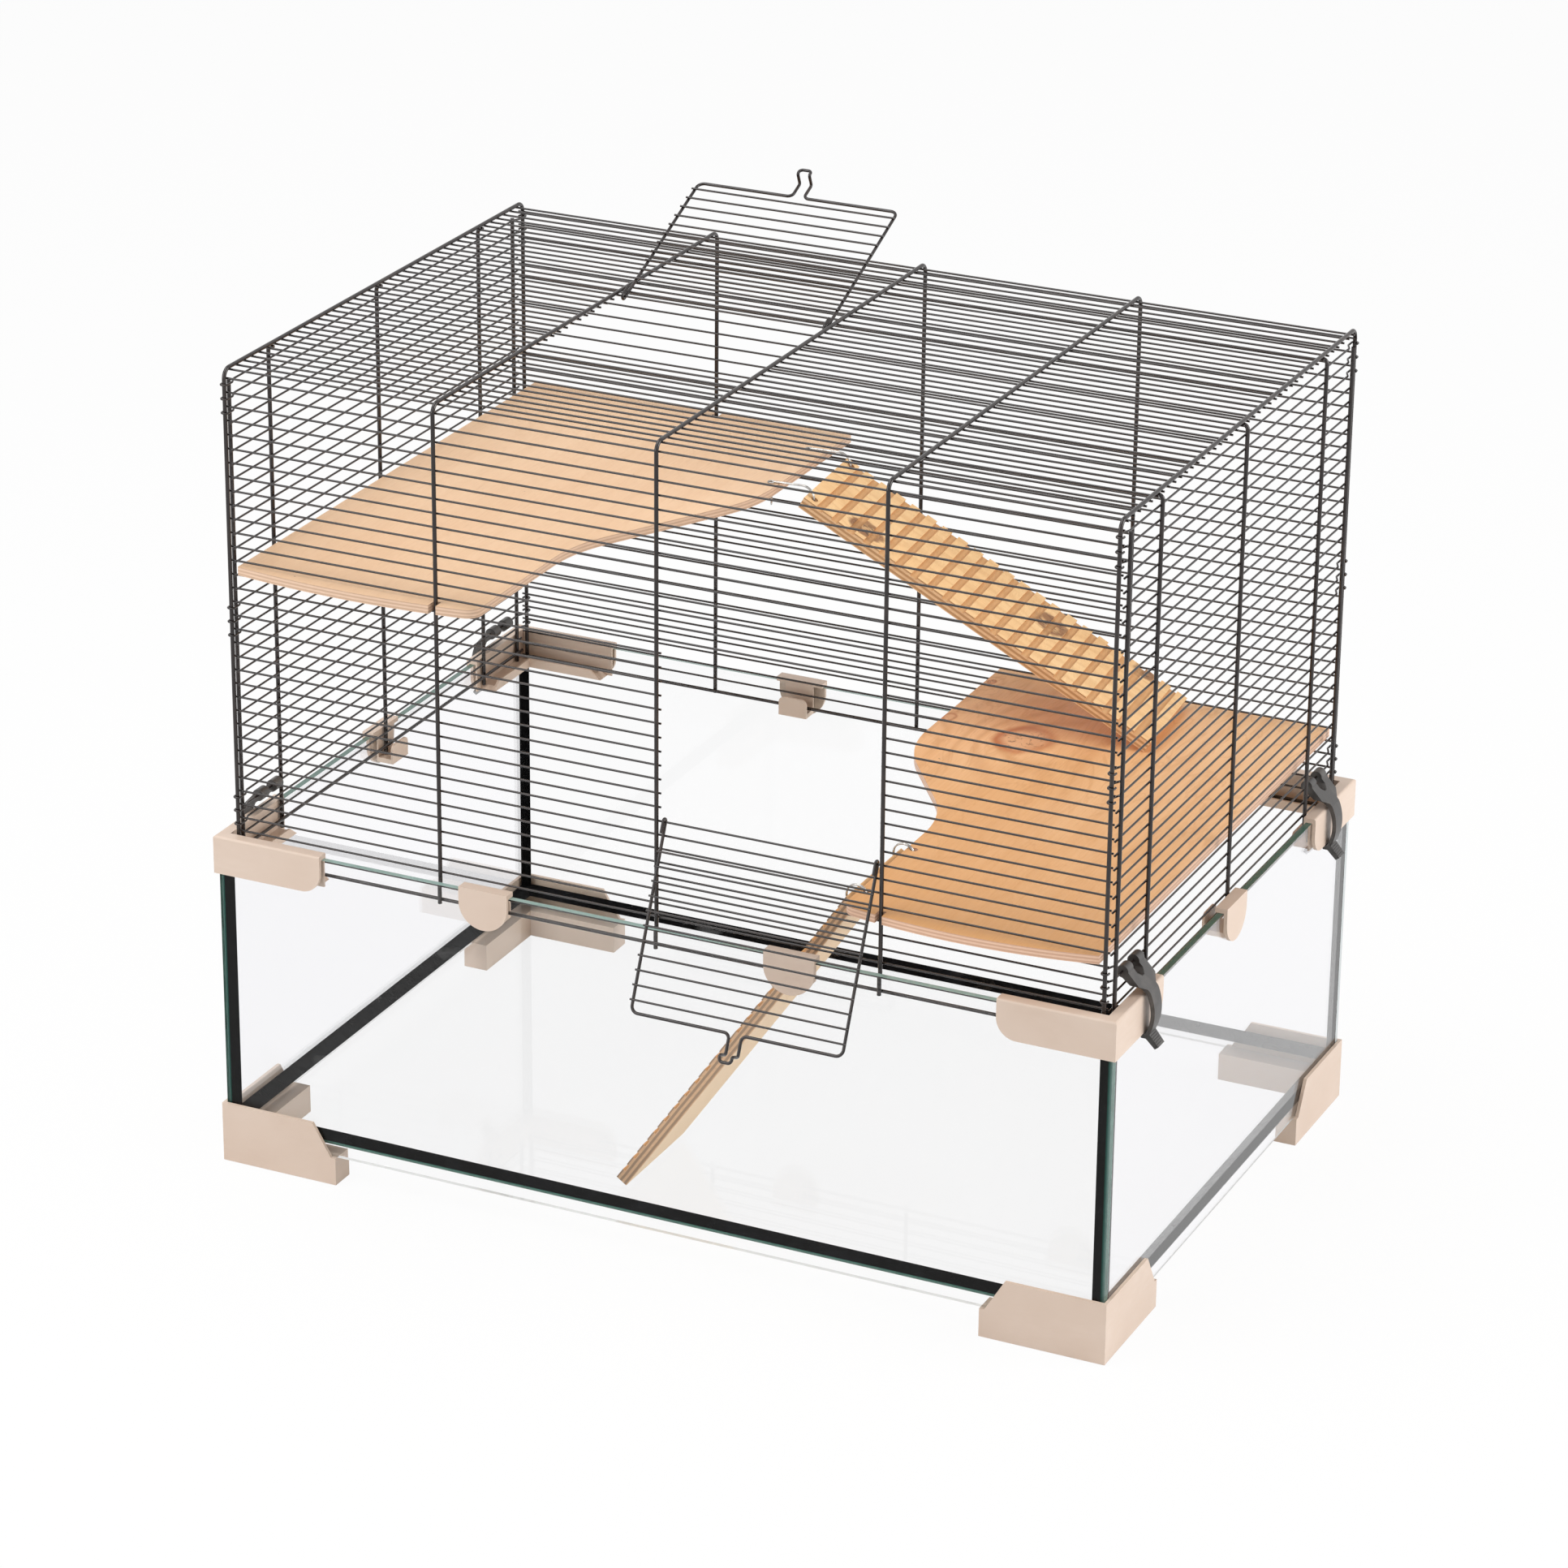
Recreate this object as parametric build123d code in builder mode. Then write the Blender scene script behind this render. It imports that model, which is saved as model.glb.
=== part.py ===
from build123d import *
import os
from math import asin, atan2, cos, degrees, hypot, radians, sin, sqrt

os.makedirs("parts", exist_ok=True)

# A hamster cage: a glass tank, a wire top latched on it, two doors, two shelves and two ramps.
# All lengths are in mm. X runs along the front, Y to the back and Z up from the table.

# Tank
tank_length = 600.0  # over the plastic feet and caps
tank_depth = 400.0
plastic_wall = 2.2
glass_fit = 0.3  # between the glass and a plastic wall outside it
glass_thickness = 4.0
glass_top = 220.0
floor_thickness = 5.0
floor_under = 25.0  # underside of the raised floor pane
seal_film = 0.6  # silicone between two panes
floor_bead = 8.5  # width on the floor
floor_bead_rise = 5.0
floor_bare = 1.5  # the floor pane's edge below its silicone
corner_bead = 5.0

# Feet
foot_height = 40.0
foot_arm = 81.0
foot_end_height = 13.0
foot_end_slope = 16.0
foot_ledge = 18.5  # the panes stand on this
foot_leg = 17.0  # width of the leg in plan
foot_rib = 2.4
foot_cavity_top = 15.5
half_x = tank_length / 2
half_y = tank_depth / 2

# Rim corner caps and rim clips share one section: outer wall, top, inner wall, trough and lip
cap_low = glass_top - 22.0
cap_top = glass_top + 3.0
cap_arm_x = 75.0
cap_arm_y = 73.0
cap_end_round = 13.0
cap_edge_round = 1.6
inner_fit = 0.2
inner_wall = 1.2
trough_low = glass_top - 19.0
trough_top = trough_low + 3.2
lip_inset = 17.0  # from the tank's outer face to the lip's outer face
lip_thickness = 1.5
cap_lip_top = trough_low + 6.0
lip_short = 3.2  # a cap's outer wall reaches past its trough by this much
lip_slope = 8.0  # its lip's end leans back by this much
clip_lip_top = trough_low + 13.0
clip_width = 33.0
clip_inner_width = 20.0
clip_low = glass_top - 23.0
clip_corner = 4.0
front_clips = (-112.0, 92.0)
back_clips = (-86.0, 118.0)
right_clip = -8.0
left_clip = 3.0

# Wire top
hoop_radius = 1.3
hoop_bend = 6.0
end_hoop = half_x - 12.3
inner_hoop = 0.509 * end_hoop
hoop_places = (-end_hoop, -inner_hoop, 0.0, inner_hoop, end_hoop)
hoop_y = half_y - 10.5
top_low = glass_top - 15.5  # bottom ends of the thick wires
top_height = 525.0  # over the roof
wire_radius = 0.66
rim_wire_radius = 1.1
weld = 0.05  # two crossing wires sink into each other by this much
pitch = 8.9
first_wire = glass_top - 13.6
front_rows = int((top_height - 7.0 - first_wire) / pitch) + 1
roof_rows = int((hoop_y - 6.5) / pitch + 0.5)  # to each side of the middle
wire_stub = 0.6  # past the end hoops
cut_stub = 0.8  # past a hoop beside an opening

# Side panels
side_x = half_x - 9.7  # upright centre lines
bent_upright = 0.702 * hoop_y
bent_uprights = (-bent_upright, 0.0, bent_upright)
short_upright = hoop_y - 9.5
upright_places = (-short_upright, *bent_uprights, short_upright)
short_upright_top = top_height - 10.0
upright_bend = 3.0
side_drop = 3.5  # the side wires lie this much below the front ones
side_stub = hoop_y - 6.5
hooked_starts = (3, front_rows // 2 - 1, front_rows - 3)
hooked_rows = [row for start in hooked_starts for row in range(start, start + 3)]
hook_run = 6.0
hook_fit = 0.05

# Doors
door_wire_radius = 1.0
door_inset = 4.3  # arm centre line to hoop centre line
door_rows = 11
door_reach = (door_rows + 1) * pitch + 7.7  # hinge wire to the free bar
door_corner = 4.5
door_stub = 0.4  # a door wire's ends past the arms
eye_fit = 0.1
eye_tail = 7.0
stop_gap = 0.15  # a resting arm to the wire that it leans on
tongue_half = 4.0
tongue_leg = 12.8
tongue_step = 8.4
tongue_tip = 4.0
tongue_base_bend = 3.6
tongue_bend = 1.5
tongue_tip_bend = 2.4
front_hinge_row = 9
roof_hinge_y = 5.5 * pitch

# Latches
latch_row = 4
latch_y = hoop_y - 37.5
latch_eye = 3.8
latch_width = 25.0  # over its two eyes
latch_notch = 9.0  # between them
latch_notch_side = 3.0  # below the hinge
latch_notch_low = 5.5
latch_notch_floor = 3.0
latch_shoulder = 8.0  # below the hinge, where the full width ends
latch_neck = 12.5  # strap width at its top
latch_neck_top = 11.5
latch_end = 9.0  # strap width at the finger tab's end
latch_wall = 2.6
latch_bow = 3.0
latch_gap = 1.2  # from the cap's outer face to the strap
latch_catch_gap = 0.4  # from the cap's lower edge to the hook
latch_tip_gap = 0.5  # from the glass to the hook's tip
latch_hook = 2.2  # thickness of the hook
latch_tab = 9.2  # finger tab, along its slope
latch_tab_slope = radians(51.0)
latch_tab_thickness = 3.0

# Shelves
shelf_thickness = 5.5
shelf_seat = 0.05
notch_fit = 1.1
shelf_corner = 9.0
shelf_back_corner = 4.0
upper_row = 21
upper_wall_x = 18.0 - half_x
upper_front_y = 3.0 - half_y  # the front edges are bowed, and this is the bow's top
upper_front_ends = (upper_front_y + 7.0, upper_front_y + 6.0)  # at the wall and at the free edge
upper_back_y = half_y - 6.0
upper_edge = ((-0.397 * half_x, -0.33 * half_y), (-0.18 * half_x, 0.285 * half_y))  # free edge
upper_edge_back = 2.0 + upper_edge[1][0]
upper_edge_bend = 100.0
lower_row = 5
lower_wall_x = half_x - 17.0
lower_front_y = 2.5 - half_y
lower_front_ends = (lower_front_y + 9.5, lower_front_y + 8.5)
lower_back_y = half_y - 7.0
lower_edge = ((0.405 * half_x, -0.215 * half_y), (0.19 * half_x, 0.235 * half_y))
lower_edge_bend = 90.0
shelf_pick = 1.0  # reach past the free edge when its corners are picked

# Ramps
ramp_length = 266.0
ramp_width = 79.0
ramp_thickness = 8.0
ramp_end = 2.0  # hinge axis to the ramp's top end
ramp_rest = 0.3  # foot to what it rests on
groove_pitch = 12.2
groove_width = 4.9
groove_depth = 1.8
groove_first = 12.0
bright_wire = 0.8
hinge_edge = 6.0  # ring or hook to the ramp's side
hinge_hole = 2.5
ring_radius = 6.8
ring_drop = 1.5  # ring centre below the lower shelf's middle
lower_hinge = (lower_edge[0][0] - 2.0, 69.0 - half_y)
hook_radius = 8.0
hook_lift = 0.1
hook_hole = 1.6
hook_reach = 20.5  # hinge axis to the hook's hole in the upper shelf
hook_tail = 2.5
hook_arc = 145.0
hook_bend = 2.0
upper_hinge = (upper_edge_back + 11.0, 0.621 * half_y)
upper_turn = 4.7  # degrees that the upper ramp turns to the back

# Sizes that follow
glass_x = half_x - plastic_wall - glass_fit
glass_y = half_y - plastic_wall - glass_fit
inside_x = glass_x - glass_thickness
inside_y = glass_y - glass_thickness
floor_top = floor_under + floor_thickness
inner_out = plastic_wall + glass_fit + glass_thickness + inner_fit
inner_in = inner_out + inner_wall
hoop_top = top_height - hoop_radius
front_y = hoop_y - hoop_radius - wire_radius + weld
rim_y = hoop_y - hoop_radius - rim_wire_radius + weld
roof_z = hoop_top - hoop_radius - wire_radius + weld
side_wire_x = side_x - hoop_radius - wire_radius + weld
wire_end = end_hoop + hoop_radius + wire_stub


def row_z(row):
    return first_wire + pitch * row


pieces = {}


def keep(name, piece):
    piece.label = name
    pieces[name] = piece


# --- Glass and silicone ---


def pane(center, size):
    with BuildPart(Plane(origin=center)) as glass:
        Box(*size)
    return glass.part


pane_height = glass_top - foot_ledge
pane_middle = (glass_top + foot_ledge) / 2
side_pane = 2 * (inside_y - seal_film)
floor_size = (2 * (inside_x - seal_film), 2 * (inside_y - seal_film), floor_thickness)
for name, side in (("glass_front", -1), ("glass_back", 1)):
    center = (0, side * (glass_y - glass_thickness / 2), pane_middle)
    keep(name, pane(center, (2 * glass_x, glass_thickness, pane_height)))
for name, side in (("glass_left", -1), ("glass_right", 1)):
    center = (side * (glass_x - glass_thickness / 2), 0, pane_middle)
    keep(name, pane(center, (glass_thickness, side_pane, pane_height)))
keep("glass_floor", pane((0, 0, floor_under + floor_thickness / 2), floor_size))

bead_slope = degrees(atan2(floor_bead - seal_film, floor_bead_rise))
seal_low = floor_under + floor_bare
with BuildPart() as floor_seal:
    with BuildSketch(Plane.XY.offset(seal_low)):
        Rectangle(2 * inside_x, 2 * inside_y)
    extrude(amount=floor_top + floor_bead_rise - seal_low)
    with BuildSketch(Plane.XY.offset(seal_low)):
        Rectangle(floor_size[0], floor_size[1])
    extrude(amount=floor_top - seal_low, mode=Mode.SUBTRACT)
    with BuildSketch(Plane.XY.offset(floor_top)):
        Rectangle(2 * (inside_x - floor_bead), 2 * (inside_y - floor_bead))
    extrude(amount=floor_bead_rise, taper=-bead_slope, mode=Mode.SUBTRACT)
keep("floor_silicone", floor_seal.part)

bead_top = trough_low - seal_film
with BuildPart() as corner_seals:
    for x_side in (-1, 1):
        for y_side in (-1, 1):
            corner = (x_side * inside_x, y_side * inside_y)
            with BuildSketch(Plane.XY.offset(foot_ledge)):
                with Locations((corner[0] + x_side * glass_thickness / 2, corner[1])):
                    Rectangle(glass_thickness, 2 * seal_film)
                with Locations((corner[0], corner[1] + y_side * glass_thickness / 2)):
                    Rectangle(4 * glass_thickness, glass_thickness, mode=Mode.SUBTRACT)
            extrude(amount=pane_height)
            with BuildSketch(Plane.XY.offset(floor_top + floor_bead_rise)):
                with BuildLine():
                    along = (corner[0] - x_side * corner_bead, corner[1])
                    across = (corner[0], corner[1] - y_side * corner_bead)
                    Line(corner, along)
                    bow = corner_bead * (1 - sqrt(0.5))
                    middle = (corner[0] - x_side * bow, corner[1] - y_side * bow)
                    ThreePointArc(along, middle, across)
                    Line(across, corner)
                make_face()
            extrude(amount=bead_top - floor_top - floor_bead_rise)
keep("corner_silicone", corner_seals.part)

# --- Feet and rim caps, made once for the front left corner and mirrored ---


def corner_band(height, outer, inner, arm_x, arm_y):
    # An L in plan between two distances in from the tank's outer faces.
    with BuildSketch(Plane.XY.offset(height)) as band:
        with BuildLine():
            Polyline(
                (outer - half_x, outer - half_y),
                (arm_x - half_x, outer - half_y),
                (arm_x - half_x, inner - half_y),
                (inner - half_x, inner - half_y),
                (inner - half_x, arm_y - half_y),
                (outer - half_x, arm_y - half_y),
                close=True,
            )
        make_face()
    return band.sketch


def save_corners(name, corner):
    flips = {
        "front_left": (),
        "front_right": (Plane.YZ,),
        "back_left": (Plane.XZ,),
        "back_right": (Plane.YZ, Plane.XZ),
    }
    for place, planes in flips.items():
        with BuildPart() as copy:
            add(corner)
            for plane in planes:
                mirror(about=plane, mode=Mode.REPLACE)
        keep(f"{name}_{place}", copy.part)


foot_front = Plane(origin=(-half_x, -half_y, 0), x_dir=(1, 0, 0), z_dir=(0, -1, 0))
foot_side = Plane(origin=(-half_x, -half_y, 0), x_dir=(0, 1, 0), z_dir=(1, 0, 0))


def foot_wall(plane):
    with BuildSketch(plane) as wall:
        with BuildLine():
            Polyline(
                (0, 0),
                (foot_arm, 0),
                (foot_arm, foot_end_height),
                (foot_arm - foot_end_slope, foot_height),
                (0, foot_height),
                close=True,
            )
        make_face()
    return wall.sketch


with BuildPart() as foot:
    extrude(foot_wall(foot_front), amount=-plastic_wall)
    extrude(foot_wall(foot_side), amount=plastic_wall)
    extrude(corner_band(0, 0, foot_leg, foot_arm, foot_arm), amount=foot_ledge)
    cavity_end = foot_arm - plastic_wall
    cavity = corner_band(0, plastic_wall, foot_leg - plastic_wall, cavity_end, cavity_end)
    extrude(cavity, amount=foot_cavity_top, mode=Mode.SUBTRACT)
    for along in (foot_leg + plastic_wall, foot_arm / 2 + plastic_wall):
        with BuildSketch():
            with Locations((along - half_x, foot_leg / 2 - half_y)):
                Rectangle(foot_rib, foot_leg)
            with Locations((foot_leg / 2 - half_x, along - half_y)):
                Rectangle(foot_leg, foot_rib)
        extrude(amount=foot_cavity_top)
save_corners("foot", foot.part)


def cap_wall(plane, arm):
    with BuildSketch(plane) as wall:
        with BuildLine():
            FilletPolyline((0, cap_low), (arm, cap_low), (arm, cap_top), radius=cap_end_round)
            Polyline((arm, cap_top), (0, cap_top), (0, cap_low))
        make_face()
    return wall.sketch


def lip_end(plane, arm):
    # What is cut off an arm's trough and lip, so that the lip's end leans back.
    with BuildSketch(plane) as cut:
        with BuildLine():
            Polyline(
                (arm, trough_low),
                (arm - lip_short, trough_low),
                (arm - lip_short - lip_slope, cap_lip_top),
                (arm, cap_lip_top),
                close=True,
            )
        make_face()
    return cut.sketch


with BuildPart() as cap:
    extrude(cap_wall(foot_front, cap_arm_x), amount=-plastic_wall)
    extrude(cap_wall(foot_side, cap_arm_y), amount=plastic_wall)
    extrude(corner_band(glass_top, 0, inner_in, cap_arm_x, cap_arm_y), amount=cap_top - glass_top)
    inner = corner_band(trough_low, inner_out, inner_in, cap_arm_x, cap_arm_y)
    extrude(inner, amount=cap_top - trough_low)
    lip_in = lip_inset + lip_thickness
    trough = corner_band(trough_low, inner_out, lip_in, cap_arm_x, cap_arm_y)
    extrude(trough, amount=trough_top - trough_low)
    lip = corner_band(trough_low, lip_inset, lip_in, cap_arm_x, cap_arm_y)
    extrude(lip, amount=cap_lip_top - trough_low)
    lip_depth = lip_in - inner_in
    extrude(lip_end(foot_front.offset(-inner_in), cap_arm_x), amount=-lip_depth, mode=Mode.SUBTRACT)
    extrude(lip_end(foot_side.offset(inner_in), cap_arm_y), amount=lip_depth, mode=Mode.SUBTRACT)
    rim_edges = faces().sort_by(Axis.Z)[-1].edges()
    outer_edges = rim_edges.group_by(Axis.X)[0] + rim_edges.group_by(Axis.Y)[0]
    fillet(outer_edges, radius=cap_edge_round)
save_corners("rim_cap", cap.part)

# --- Rim clips ---


def rim_clip(plane):
    # The plane's x runs along the rim, its y up and its z outward from the tank's outer face.
    with BuildPart() as clip:
        with BuildSketch(plane):
            with BuildLine():
                shoulder = clip_low + clip_width / 2
                Polyline(
                    (-clip_width / 2, shoulder),
                    (-clip_width / 2, cap_top),
                    (clip_width / 2, cap_top),
                    (clip_width / 2, shoulder),
                )
                ThreePointArc((clip_width / 2, shoulder), (0, clip_low), (-clip_width / 2, shoulder))
            make_face()
        extrude(amount=-plastic_wall)
        with BuildSketch(plane):
            with Locations((0, (glass_top + cap_top) / 2)):
                Rectangle(clip_width, cap_top - glass_top)
        extrude(amount=-inner_in)
        with BuildSketch(plane.offset(-inner_out)):
            with Locations((0, (trough_low + cap_top) / 2)):
                Rectangle(clip_inner_width, cap_top - trough_low)
        extrude(amount=-inner_wall)
        with BuildSketch(plane.offset(-inner_out)):
            with Locations((0, (trough_low + trough_top) / 2)):
                Rectangle(clip_inner_width, trough_top - trough_low)
        extrude(amount=inner_out - lip_inset - lip_thickness)
        with BuildSketch(plane.offset(-lip_inset)):
            with Locations((0, (trough_low + clip_lip_top) / 2)):
                lip_face = Rectangle(clip_inner_width, clip_lip_top - trough_low)
            fillet(lip_face.vertices().group_by(Axis.Z)[-1], radius=clip_corner)
        extrude(amount=-lip_thickness)
    return clip.part


front_face = Plane(origin=(0, -half_y, 0), x_dir=(1, 0, 0), z_dir=(0, -1, 0))
back_face = Plane(origin=(0, half_y, 0), x_dir=(-1, 0, 0), z_dir=(0, 1, 0))
right_face = Plane(origin=(half_x, 0, 0), x_dir=(0, 1, 0), z_dir=(1, 0, 0))
left_face = Plane(origin=(-half_x, 0, 0), x_dir=(0, -1, 0), z_dir=(-1, 0, 0))
clip_planes = {
    "rim_clip_front_left": front_face.shift_origin((front_clips[0], -half_y, 0)),
    "rim_clip_front_right": front_face.shift_origin((front_clips[1], -half_y, 0)),
    "rim_clip_back_left": back_face.shift_origin((back_clips[0], half_y, 0)),
    "rim_clip_back_right": back_face.shift_origin((back_clips[1], half_y, 0)),
    "rim_clip_right": right_face.shift_origin((half_x, right_clip, 0)),
    "rim_clip_left": left_face.shift_origin((-half_x, left_clip, 0)),
}
for name, plane in clip_planes.items():
    keep(name, rim_clip(plane))

# --- Wire top ---


def section(route, radius):
    with BuildSketch(Plane(origin=route @ 0, z_dir=route % 0)) as disc:
        Circle(radius)
    return disc.sketch


def bent_wire(points, bends, radius):
    with BuildLine() as route:
        FilletPolyline(*points, radius=bends)
    with BuildPart() as wire:
        sweep(section(route.line, radius), path=route.line)
    return wire.part


def straight_wires(start, places, radius, length):
    # Round wires that start on one plane, at places in that plane, and run along its normal.
    with BuildPart() as wires:
        with BuildSketch(start):
            with Locations(*places):
                Circle(radius)
        extrude(amount=length)
    return wires.part


for number, x in enumerate(hoop_places, start=1):
    corners = ((x, -hoop_y, top_low), (x, -hoop_y, hoop_top), (x, hoop_y, hoop_top), (x, hoop_y, top_low))
    keep(f"hoop_{number}", bent_wire(corners, hoop_bend, hoop_radius))

# Thin wires run along X, so a plane across X holds their centres as (y, z).
left_start = Plane.YZ.offset(-wire_end)
door_left = hoop_places[2]
door_right = hoop_places[3]
roof_left = hoop_places[1]
roof_right = hoop_places[2]
cut_end = hoop_radius + cut_stub
full_length = 2 * wire_end
opening_rows = range(front_hinge_row + 1, front_hinge_row + door_rows + 2)
full_rows = [row for row in range(1, front_rows) if row not in opening_rows]


def panel_wires(full, cut, opening_left, opening_right):
    # Full wires, and wires that stop just past the hoops on both sides of an opening.
    with BuildPart() as wires:
        add(straight_wires(left_start, full, wire_radius, full_length))
        if cut:
            left_length = opening_left + cut_end + wire_end
            add(straight_wires(left_start, cut, wire_radius, left_length))
            right_start = Plane.YZ.offset(opening_right - cut_end)
            add(straight_wires(right_start, cut, wire_radius, wire_end - opening_right + cut_end))
    return wires.part


front_full = [(-front_y, row_z(row)) for row in full_rows]
front_cut = [(-front_y, row_z(row)) for row in opening_rows]
back_full = [(front_y, row_z(row)) for row in range(1, front_rows)]
keep("front_wires", panel_wires(front_full, front_cut, door_left, door_right))
keep("back_wires", panel_wires(back_full, [], 0, 0))
for name, y in (("front_rim_wire", -rim_y), ("back_rim_wire", rim_y)):
    keep(name, straight_wires(left_start, [(y, row_z(0))], rim_wire_radius, full_length))

roof_ys = [side * pitch * (row + 0.5) for row in range(roof_rows) for side in (-1, 1)]
roof_open_low = roof_hinge_y - (door_rows + 1.5) * pitch
roof_full = [(y, roof_z) for y in roof_ys if not roof_open_low < y < roof_hinge_y - pitch / 2]
roof_cut = [(y, roof_z) for y in roof_ys if roof_open_low < y < roof_hinge_y - pitch / 2]
keep("roof_wires", panel_wires(roof_full, roof_cut, roof_left, roof_right))

# Side panels: uprights outside, thin wires inside them, some of them hooked round the end hoops.


def side_uprights(side):
    with BuildPart() as uprights:
        for y in upright_places:
            x = side * side_x
            if y in bent_uprights:
                shoulder = hoop_top - 2 * hoop_radius + weld
                turned_in = side * (end_hoop - hoop_radius)
                points = ((x, y, top_low), (x, y, shoulder), (turned_in, y, shoulder))
                add(bent_wire(points, upright_bend, hoop_radius))
            else:
                foot_plane = Plane.XY.offset(top_low)
                add(straight_wires(foot_plane, [(x, y)], hoop_radius, short_upright_top - top_low))
    return uprights.part


hook_gap = hoop_radius + wire_radius + hook_fit


def hooked_wire(side, z):
    # Passes inside the end hoop's leg, round the back of it and out again, at both ends.
    x = side * side_wire_x
    inner_x = side * (end_hoop - hook_gap)
    outer_x = side * (end_hoop + hook_gap)
    far_y = hoop_y + hook_gap
    half = (
        (x, hoop_y - 2 * hook_run, z),
        (inner_x, hoop_y - hook_run, z),
        (inner_x, far_y, z),
        (outer_x, far_y, z),
        (outer_x, hoop_y - hoop_radius, z),
    )
    other = tuple((px, -py, pz) for px, py, pz in reversed(half))
    bend = hook_gap - hook_fit
    gentle = hook_run / 2
    bends = (bend, bend, gentle, gentle, gentle, gentle, bend, bend)
    return bent_wire(other + half, bends, wire_radius)


def side_wires(side):
    start = Plane.XZ.offset(-side_stub)
    with BuildPart() as wires:
        plain = [row for row in range(2, front_rows) if row not in hooked_rows]
        places = [(side * side_wire_x, row_z(row) - side_drop) for row in plain]
        add(straight_wires(start, places, wire_radius, 2 * side_stub))
        for row in hooked_rows:
            add(hooked_wire(side, row_z(row) - side_drop))
    return wires.part


for name, side in (("left", -1), ("right", 1)):
    keep(f"{name}_uprights", side_uprights(side))
    keep(f"{name}_wires", side_wires(side))
    rim_place = (side * (side_x - hoop_radius - rim_wire_radius + weld), row_z(1) - side_drop)
    rim_wire = straight_wires(Plane.XZ.offset(-side_stub), [rim_place], rim_wire_radius, 2 * side_stub)
    keep(f"{name}_rim_wire", rim_wire)

# --- Doors. In a door's own plane, x runs along the hinge, y from the hinge to the free bar and
# z out of the cage when the door is shut. Both are drawn open, leaning on the next wire. ---

eye_radius = wire_radius + eye_fit + door_wire_radius
lean = asin((eye_radius + wire_radius + door_wire_radius + stop_gap) / pitch)
door_arm = (door_right - door_left) / 2 - door_inset
door_middle = (door_left + door_right) / 2
roof_middle = (roof_left + roof_right) / 2
front_hinge = (door_middle, -front_y, row_z(front_hinge_row))
roof_hinge = (roof_middle, roof_hinge_y, roof_z)
front_door_plane = Plane(origin=front_hinge, x_dir=(1, 0, 0), z_dir=(0, cos(lean), -sin(lean)))
roof_door_plane = Plane(origin=roof_hinge, x_dir=(-1, 0, 0), z_dir=(0, sin(lean), -cos(lean)))


def door_frame(plane):
    arm, eye, reach = door_arm, eye_radius, door_reach
    leg = reach + tongue_leg
    tip = leg + tongue_tip
    step = eye - tongue_step
    with BuildLine(plane) as route:
        Line((-arm, eye_tail, -eye), (-arm, 0, -eye))
        ThreePointArc((-arm, 0, -eye), (-arm, -eye, 0), (-arm, 0, eye))
        FilletPolyline(
            (-arm, 0, eye),
            (-arm, reach, eye),
            (-tongue_half, reach, eye),
            (-tongue_half, leg, eye),
            (-tongue_half, leg, step),
            (-tongue_half, tip, step),
            (tongue_half, tip, step),
            (tongue_half, leg, step),
            (tongue_half, leg, eye),
            (tongue_half, reach, eye),
            (arm, reach, eye),
            (arm, 0, eye),
            radius=(
                door_corner,
                tongue_base_bend,
                tongue_bend,
                tongue_bend,
                tongue_tip_bend,
                tongue_tip_bend,
                tongue_bend,
                tongue_bend,
                tongue_base_bend,
                door_corner,
            ),
        )
        ThreePointArc((arm, 0, eye), (arm, -eye, 0), (arm, 0, -eye))
        Line((arm, 0, -eye), (arm, eye_tail, -eye))
    with BuildPart() as frame:
        sweep(section(route.line, door_wire_radius), path=route.line)
    return frame.part


def door_wires(plane):
    # The first row by the hinge is left out.
    reach = door_arm + door_wire_radius + door_stub
    height = eye_radius - door_wire_radius - wire_radius + weld
    start = Plane(origin=plane.from_local_coords((-reach, 0, 0)), x_dir=plane.y_dir, z_dir=plane.x_dir)
    places = [(pitch * row, height) for row in range(2, 2 + door_rows)]
    return straight_wires(start, places, wire_radius, 2 * reach)


for name, plane in (("front_door", front_door_plane), ("roof_door", roof_door_plane)):
    keep(f"{name}_frame", door_frame(plane))
    keep(f"{name}_wires", door_wires(plane))

# --- Latches. In a latch's plane x runs outward from its hinge on the side wire and y up. ---

latch_z = row_z(latch_row) - side_drop
strap_in = half_x + latch_gap - side_wire_x
strap_out = strap_in + latch_wall
over_cap = latch_z - cap_top
under_cap = latch_z - cap_low
catch_radius = hypot(half_x - side_wire_x, under_cap) + latch_catch_gap
tip_x = glass_x + latch_tip_gap - side_wire_x
tab_run = latch_tab * cos(latch_tab_slope)
tab_drop = latch_tab * sin(latch_tab_slope)
tab_back = latch_tab_thickness * sin(latch_tab_slope)
tab_under = latch_tab_thickness * cos(latch_tab_slope)
tab_low = -under_cap - tab_drop - tab_under


def on_catch(x):
    return (x, -sqrt(catch_radius**2 - x**2))


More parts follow.
